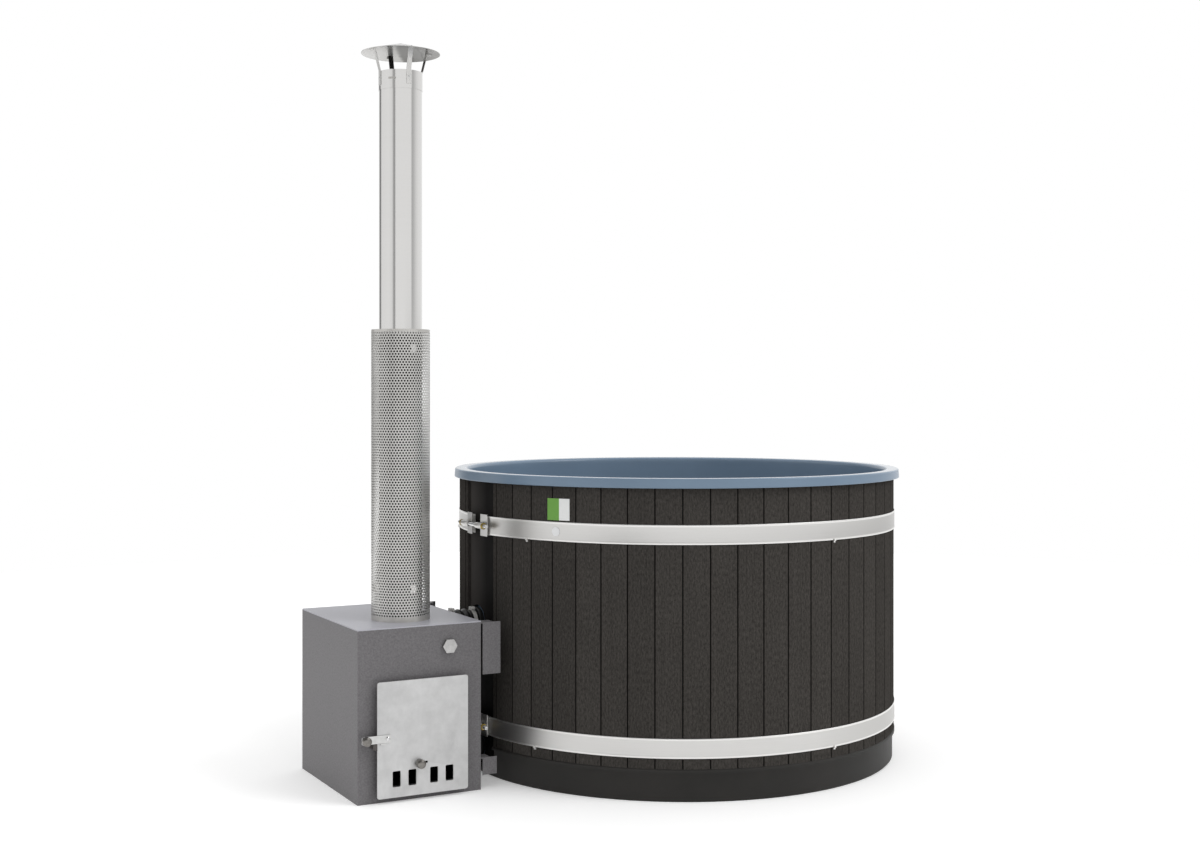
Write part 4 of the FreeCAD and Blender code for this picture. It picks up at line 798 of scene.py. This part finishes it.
def hex_plug():
    """A hexagon head with its corners taken off round a circular face."""
    low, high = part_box("hex_plug")
    x, z = (low.x + high.x) / 2, (low.z + high.z) / 2
    flat = (high.z - low.z) / 2
    face = 0.94 * flat
    steps = 48
    rings = [[], [], []]
    for k in range(steps):
        turn = 360 / steps * k
        angle = math.radians(turn)
        reach = flat / math.cos(math.radians(turn % 60 - 30))
        depth = (reach - face) * 0.18
        for ring, radius, y in zip(rings, (face, reach, reach), (low.y, low.y + depth, high.y)):
            ring.append((x + radius * math.cos(angle), y, z + radius * math.sin(angle)))
    verts = rings[0] + rings[1] + rings[2]
    faces = [tuple(range(steps)), tuple(range(2 * steps, 3 * steps))]
    for base in (0, steps):
        for k in range(steps):
            j = (k + 1) % steps
            faces.append((base + k, base + j, base + steps + j, base + steps + k))
    piece("hex_plug_head", (verts, faces), plug_steel, ("hex_plug",), sharp=20)


DAMPER_NECK_Y = -254 * MM

knob("damper_knob", 3 * MM, DAMPER_NECK_Y)
knob("latch_knob", 5 * MM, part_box("latch_knob")[1].y - 2 * MM)
hex_plug()


# Hoses

CUFF_R = 42 * MM
CUFF_LENGTH = 27 * MM


def hose_clamps():
    """Worm-drive clamps: a band round each cuff, a housing and a screw with a hexagon head."""
    band = [(0, -6.5), (1.2, -6.5), (1.2, 6.5), (0, 6.5)]
    screw = scaled([(0, -22), (3, -22), (3, 14), (0, 14)])
    head = scaled([(0, -22.5), (4.4, -22.5), (5, -21.9), (5, -16), (0, -16)])
    parts = []
    for side, up in (("upper", 1), ("lower", -1)):
        low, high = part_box(side + "_hose")
        y, z = (low.y + high.y) / 2, (low.z + high.z) / 2
        for x in (low.x + CUFF_LENGTH / 2, high.x - CUFF_LENGTH / 2):
            parts.append(turned(scaled(band, CUFF_R, x), (0, y, z), "X", 72))
            inner, outer = sorted((z + up * 42.6 * MM, z + up * 53 * MM))
            parts.append(block((x - 7 * MM, y - 11 * MM, inner), (x + 7 * MM, y + 9 * MM, outer)))
            axis = (x, y, z + up * 49 * MM)
            parts.append(turned(screw, axis, "Y", 20))
            parts.append(turned(head, axis, "Y", 6))
    piece("worm_clamps", joined(*parts), clamp_steel, ("hose_clamps",))


def hose(side):
    """A ribbed rubber hose with a plain cuff at each end."""
    low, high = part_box(side + "_hose")
    centre = ((low.x + high.x) / 2, (low.y + high.y) / 2, (low.z + high.z) / 2)
    half = (high.x - low.x) / 2
    rib = (high.z - low.z) / 2
    valley = 40.6 * MM
    bore = 33.4 * MM
    ribs = 2
    steps = 48
    cuff_end = half - CUFF_LENGTH
    profile = [(CUFF_R, -half), (CUFF_R, -cuff_end)]
    for k in range(1, steps):
        along = -cuff_end + 2 * cuff_end * k / steps
        wave = 0.5 - 0.5 * math.cos(2 * math.pi * (ribs * k / steps))
        profile.append((valley + (rib - valley) * wave ** 0.6, along))
    profile += [(CUFF_R, cuff_end), (CUFF_R, half), (bore, half), (bore, -half)]
    shape = turned(profile, centre, "X", 72)
    piece(side + "_hose_rubber", shape, hose_rubber, (side + "_hose",))


hose_clamps()
hose("upper")
hose("lower")


# Flue

def guard_tile(pitch, row, hole, sheet):
    """One flat cell of the perforated sheet, with its hole in the middle."""
    outer = []
    for x in (-0.5, -0.25, 0, 0.25, 0.5):
        outer.append((x * pitch, -row / 2))
    outer.append((pitch / 2, 0))
    for x in (0.5, 0.25, 0, -0.25, -0.5):
        outer.append((x * pitch, row / 2))
    outer.append((-pitch / 2, 0))
    count = len(outer)
    inner = []
    for k in range(count):
        angle = math.radians(210 + 360 / count * k)
        inner.append((hole / 2 * math.cos(angle), hole / 2 * math.sin(angle)))
    verts = []
    for depth in (0, -sheet):
        verts += [(x, depth, z) for x, z in outer + inner]
    faces = []
    for k in range(count):
        j = (k + 1) % count
        faces.append((k, j, count + j, count + k))
        faces.append((2 * count + j, 2 * count + k, 3 * count + k, 3 * count + j))
        faces.append((count + k, count + j, 3 * count + j, 3 * count + k))
    mesh = bpy.data.meshes.new("guard_tile")
    mesh.from_pydata(verts, [], faces)
    return mesh


def perforated_tree():
    """Rows of tiles, every second row half a hole along, bent round an upright axis."""
    tree = bpy.data.node_groups.new("Perforated sheet", "GeometryNodeTree")
    for label, kind in (("Tile", "NodeSocketObject"), ("Columns", "NodeSocketInt"), ("Rows", "NodeSocketInt"),
                        ("Pitch", "NodeSocketFloat"), ("Row pitch", "NodeSocketFloat"),
                        ("First row", "NodeSocketInt"), ("Bottom", "NodeSocketFloat"),
                        ("Radius", "NodeSocketFloat"), ("Turn", "NodeSocketFloat"),
                        ("Axis place", "NodeSocketVector"), ("Material", "NodeSocketMaterial")):
        tree.interface.new_socket(label, in_out="INPUT", socket_type=kind)
    tree.interface.new_socket("Geometry", in_out="OUTPUT", socket_type="NodeSocketGeometry")
    source = tree.nodes.new("NodeGroupInput").outputs
    sink = tree.nodes.new("NodeGroupOutput").inputs
    index = tree.nodes.new("GeometryNodeInputIndex").outputs[0]
    row = maths(tree, "FLOOR", maths(tree, "DIVIDE", index, source["Columns"]))
    column = maths(tree, "SUBTRACT", index, maths(tree, "MULTIPLY", row, source["Columns"]))
    odd = maths(tree, "MODULO", maths(tree, "ADD", row, source["First row"]), 2.0)
    shift = maths(tree, "MULTIPLY", odd, 0.5)
    along = maths(tree, "MULTIPLY", maths(tree, "ADD", column, shift), source["Pitch"])
    up = maths(tree, "ADD", maths(tree, "MULTIPLY", maths(tree, "ADD", row, 0.5), source["Row pitch"]),
               source["Bottom"])
    spot = add(tree, "ShaderNodeCombineXYZ", {0: along, 2: up})
    count = maths(tree, "MULTIPLY", source["Columns"], source["Rows"])
    dots = add(tree, "GeometryNodePoints", {"Count": count, "Position": spot.outputs[0]})
    tile = add(tree, "GeometryNodeObjectInfo", {"Object": source["Tile"]})
    copies = add(tree, "GeometryNodeInstanceOnPoints", {"Points": dots.outputs[0],
                                                        "Instance": tile.outputs["Geometry"]})
    real = add(tree, "GeometryNodeRealizeInstances", {"Geometry": copies.outputs[0]})
    position = tree.nodes.new("GeometryNodeInputPosition").outputs[0]
    place = add(tree, "ShaderNodeSeparateXYZ", {0: position}).outputs
    angle = maths(tree, "ADD", maths(tree, "DIVIDE", place[0], source["Radius"]), source["Turn"])
    reach = maths(tree, "ADD", place[1], source["Radius"])
    bent = add(tree, "ShaderNodeCombineXYZ", {0: maths(tree, "MULTIPLY", reach, maths(tree, "COSINE", angle)),
                                              1: maths(tree, "MULTIPLY", reach, maths(tree, "SINE", angle)),
                                              2: place[2]})
    moved = add(tree, "ShaderNodeVectorMath", {0: bent.outputs[0], 1: source["Axis place"]}, operation="ADD")
    wall = add(tree, "GeometryNodeSetPosition", {"Geometry": real.outputs[0], "Position": moved.outputs[0]})
    welded = add(tree, "GeometryNodeMergeByDistance", {"Geometry": wall.outputs[0], "Distance": 0.00002})
    looks = add(tree, "GeometryNodeSetMaterial", {"Geometry": welded.outputs[0],
                                                  "Material": source["Material"]})
    tree.links.new(looks.outputs[0], sink["Geometry"])
    return tree


def baked(name, tree, values):
    """The mesh that a node tree makes with these inputs."""
    holder = bpy.data.objects.new(name + "_maker", bpy.data.meshes.new(name + "_maker"))
    bpy.context.scene.collection.objects.link(holder)
    modifier = holder.modifiers.new("maker", "NODES")
    modifier.node_group = tree
    for item in tree.interface.items_tree:
        if item.item_type == "SOCKET" and item.in_out == "INPUT":
            modifier[item.identifier] = values[item.name]
    bpy.context.view_layer.update()
    mesh = bpy.data.meshes.new_from_object(holder.evaluated_get(bpy.context.evaluated_depsgraph_get()))
    mesh.name = name
    bpy.data.objects.remove(holder)
    return mesh


def heat_guard():
    """The perforated sleeve round the flue, with a plain band at each end."""
    low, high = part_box("heat_guard")
    radius = (high.x - low.x) / 2
    sheet = 0.8 * MM
    columns = 62
    rows = 107
    bottom = low.z + 16 * MM
    top = high.z - 8 * MM
    row = (top - bottom) / rows
    pitch = 2 * math.pi * radius / columns
    cell = bpy.data.objects.new("guard_tile", guard_tile(pitch, row, 6.4 * MM, sheet))
    bpy.context.scene.collection.objects.link(cell)
    tree = perforated_tree()
    parts = 3
    first = 0
    for k in range(parts):
        last = rows * (k + 1) // parts
        mesh = baked("guard_sheet_" + str(k + 1), tree, {
            "Tile": cell, "Columns": columns, "Rows": last - first, "Pitch": pitch, "Row pitch": row,
            "First row": first, "Bottom": bottom + first * row, "Radius": radius,
            "Turn": GUARD_TURN, "Axis place": FLUE, "Material": guard_steel})
        mesh.shade_smooth()
        mesh.set_sharp_from_angle(angle=math.radians(40))
        stands_for = ("heat_guard",) if k == 0 else ()
        piece("guard_sheet_" + str(k + 1), mesh, guard_steel, stands_for)
        first = last
    bpy.data.objects.remove(cell)
    inner = radius - sheet
    ends = []
    for start, end in ((low.z, bottom), (top, high.z)):
        ends.append(turned([(radius, start), (radius, end), (inner, end), (inner, start)], FLUE, "Z", 120))
    piece("guard_bands", joined(*ends), band_steel)


def flue():
    """The flue pipe: bright above the heat guard, and near black inside it as painted shade."""
    guard_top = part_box("heat_guard")[1].z
    inner = FLUE_R - 1.5 * MM
    meeting = guard_top - 12 * MM
    low = [(FLUE_R, FLUE_LOW.z), (FLUE_R, meeting), (inner, meeting), (inner, FLUE_LOW.z)]
    high = [(FLUE_R, meeting), (FLUE_R, FLUE_HIGH.z), (inner, FLUE_HIGH.z), (inner, meeting)]
    piece("flue_upper", turned(high, FLUE, "Z", 128), flue_steel, ("flue_pipe",))
    piece("flue_in_guard", turned(low, FLUE, "Z", 96), flue_painted_shade)


def rain_hat():
    """The hat's cone in two skins, the rivets' tails under it, and the collar's seam with its clip."""
    low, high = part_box("rain_hat")
    radius = (high.x - low.x) / 2
    sheet = 1.5 * MM
    half = sheet / 2
    under = [(0, high.z - sheet), (radius, low.z), (radius, low.z + half), (0, high.z - half)]
    over = [(0, high.z - half), (radius, low.z + half), (radius, low.z + sheet), (0, high.z)]
    piece("rain_hat_underside", turned(under, FLUE, "Z", 128), hat_underside_reflection, ("rain_hat",))
    piece("rain_hat_top", turned(over, FLUE, "Z", 128), hat_steel)
    rivet_reach = 98.4 * MM
    tail = scaled([(0, 4.0), (3.4, 4.2), (5, 5.6), (5, 7), (0, 7)], 0, low.z)
    tails = []
    for k in range(4):
        angle = math.radians(90 * k)
        centre = Vector(FLUE) + placed("Z", rivet_reach, 0, angle)
        tails.append(turned(tail, centre, "Z", 16))
    piece("hat_rivet_tails", joined(*tails), clamp_steel)
    low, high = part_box("hat_collar")
    collar = (high.x - low.x) / 2
    lap = collar + 1 * MM
    seam = sector(collar, lap, -139.5, -128, low.z, high.z, FLUE)
    clip = sector(lap, collar + 3 * MM, -143, -124, high.z - 31 * MM, high.z - 25 * MM, FLUE)
    piece("collar_seam", seam, flue_steel)
    piece("collar_clip", clip, band_steel)


heat_guard()
flue()
rain_hat()


# Stage

WHITE = (1, 1, 1, 1)
FLOOR_R = 7.0

# Brightness of the studio walls that metal mirrors, by the angle from the camera's own side, in degrees
STUDIO_WALLS = (
    (-180, 1.0), (-172, 0.85), (-150, 0.85), (-142, 0.25), (-126, 0.25), (-116, 0.95),
    (-60, 1.0), (-38, 0.93), (-32, 0.5), (-23, 0.36), (-20, 1.0), (65, 1.0),
    (69.5, 0.55), (78, 0.6), (98, 0.88), (118, 1.0), (180, 1.0),
)


def grey(level):
    """A grey for a shader."""
    return (level, level, level, 1)


def studio_walls(tree, ray, height):
    """The walls' brightness where a mirrored ray meets them."""
    side = dot(tree, ray, CAMERA_RIGHT)
    front = maths(tree, "MULTIPLY", dot(tree, ray, CAMERA_AHEAD), -1.0)
    turn = maths(tree, "ARCTAN2", side, front)
    stops = [((angle + 180) / 360, grey(level)) for angle, level in STUDIO_WALLS]
    walls = colour_ramp(tree, graded(tree, turn, -math.pi, math.pi), stops)
    ceiling = graded(tree, height, 0.24, 0.5)
    near = graded(tree, front, 0.1, 0.5)
    below = graded(tree, height, 0.05, 0.0)
    right = graded(tree, side, 0.4, 0.8)
    far_floor = maths(tree, "MULTIPLY", below, right)
    level = blend_of(tree, far_floor, walls, grey(0.72))
    return blend_of(tree, maths(tree, "MULTIPLY", ceiling, near), level, grey(0.05))


def seen_straight(tree, rays):
    """1 for rays that the camera, a mirror or a clear piece sends, and 0 for soft light."""
    sharp = maths(tree, "ADD", rays["Is Camera Ray"], rays["Is Glossy Ray"])
    return maths(tree, "ADD", sharp, rays["Is Transmission Ray"])


def white_floor():
    """A round white floor that looks lit, but adds no soft light of its own."""
    material, tree, shader, _ = new_material("floor_white", 0.9, specular=0.0)
    shader.inputs["Base Color"].default_value = grey(0.94)
    shader.inputs["Emission Color"].default_value = WHITE
    rays = tree.nodes.new("ShaderNodeLightPath").outputs
    glow = maths(tree, "MULTIPLY", seen_straight(tree, rays), 0.22)
    tree.links.new(glow, shader.inputs["Emission Strength"])
    steps = 96
    edge = [placed("Z", FLOOR_R, 0, 2 * math.pi * k / steps) for k in range(steps)]
    mesh = bpy.data.meshes.new("floor")
    mesh.from_pydata([tuple(point) for point in edge], [], [tuple(range(steps))])
    mesh.materials.append(material)
    floor = bpy.data.objects.new("floor", mesh)
    bpy.context.scene.collection.objects.link(floor)


def white_room():
    """A white room, brighter from above, with walls of its own for what metal mirrors."""
    world = bpy.data.worlds.new("studio")
    bpy.context.scene.world = world
    world.use_nodes = True
    tree = world.node_tree
    back = tree.nodes["Background"]
    rays = tree.nodes.new("ShaderNodeLightPath").outputs
    ray = tree.nodes.new("ShaderNodeTexCoord").outputs["Generated"]
    height = add(tree, "ShaderNodeSeparateXYZ", {0: ray}).outputs[2]
    walls = blend_of(tree, rays["Is Glossy Ray"], WHITE, studio_walls(tree, ray, height))
    tree.links.new(walls, back.inputs["Color"])
    dome = graded(tree, height, 0.0, 1.0, 0.56, 1.06)
    level = graded(tree, seen_straight(tree, rays), 0.0, 1.0, dome, 1.0)
    tree.links.new(level, back.inputs["Strength"])


def soft_lamp():
    """One weak, wide lamp that gives the shadow."""
    lamp = bpy.data.lights.new("soft_lamp", "SUN")
    lamp.energy = 0.8
    lamp.angle = math.radians(32)
    made = bpy.data.objects.new("soft_lamp", lamp)
    made.rotation_euler = Vector((0.55, -0.55, 0.63)).to_track_quat("Z", "Y").to_euler()
    bpy.context.scene.collection.objects.link(made)


def camera():
    """The photo's camera: level, with a small shift of the lens."""
    lens = bpy.data.cameras.new("photo_camera")
    lens.lens = 47.18
    lens.sensor_width = 36
    lens.shift_y = -0.0293
    made = bpy.data.objects.new("photo_camera", lens)
    made.location = (-2.969, -4.894, 1.2989)
    made.rotation_euler = (math.radians(90), 0, CAMERA_TURN)
    bpy.context.scene.collection.objects.link(made)
    bpy.context.scene.camera = made


white_floor()
white_room()
soft_lamp()
camera()
bpy.context.scene.view_settings.view_transform = "Standard"
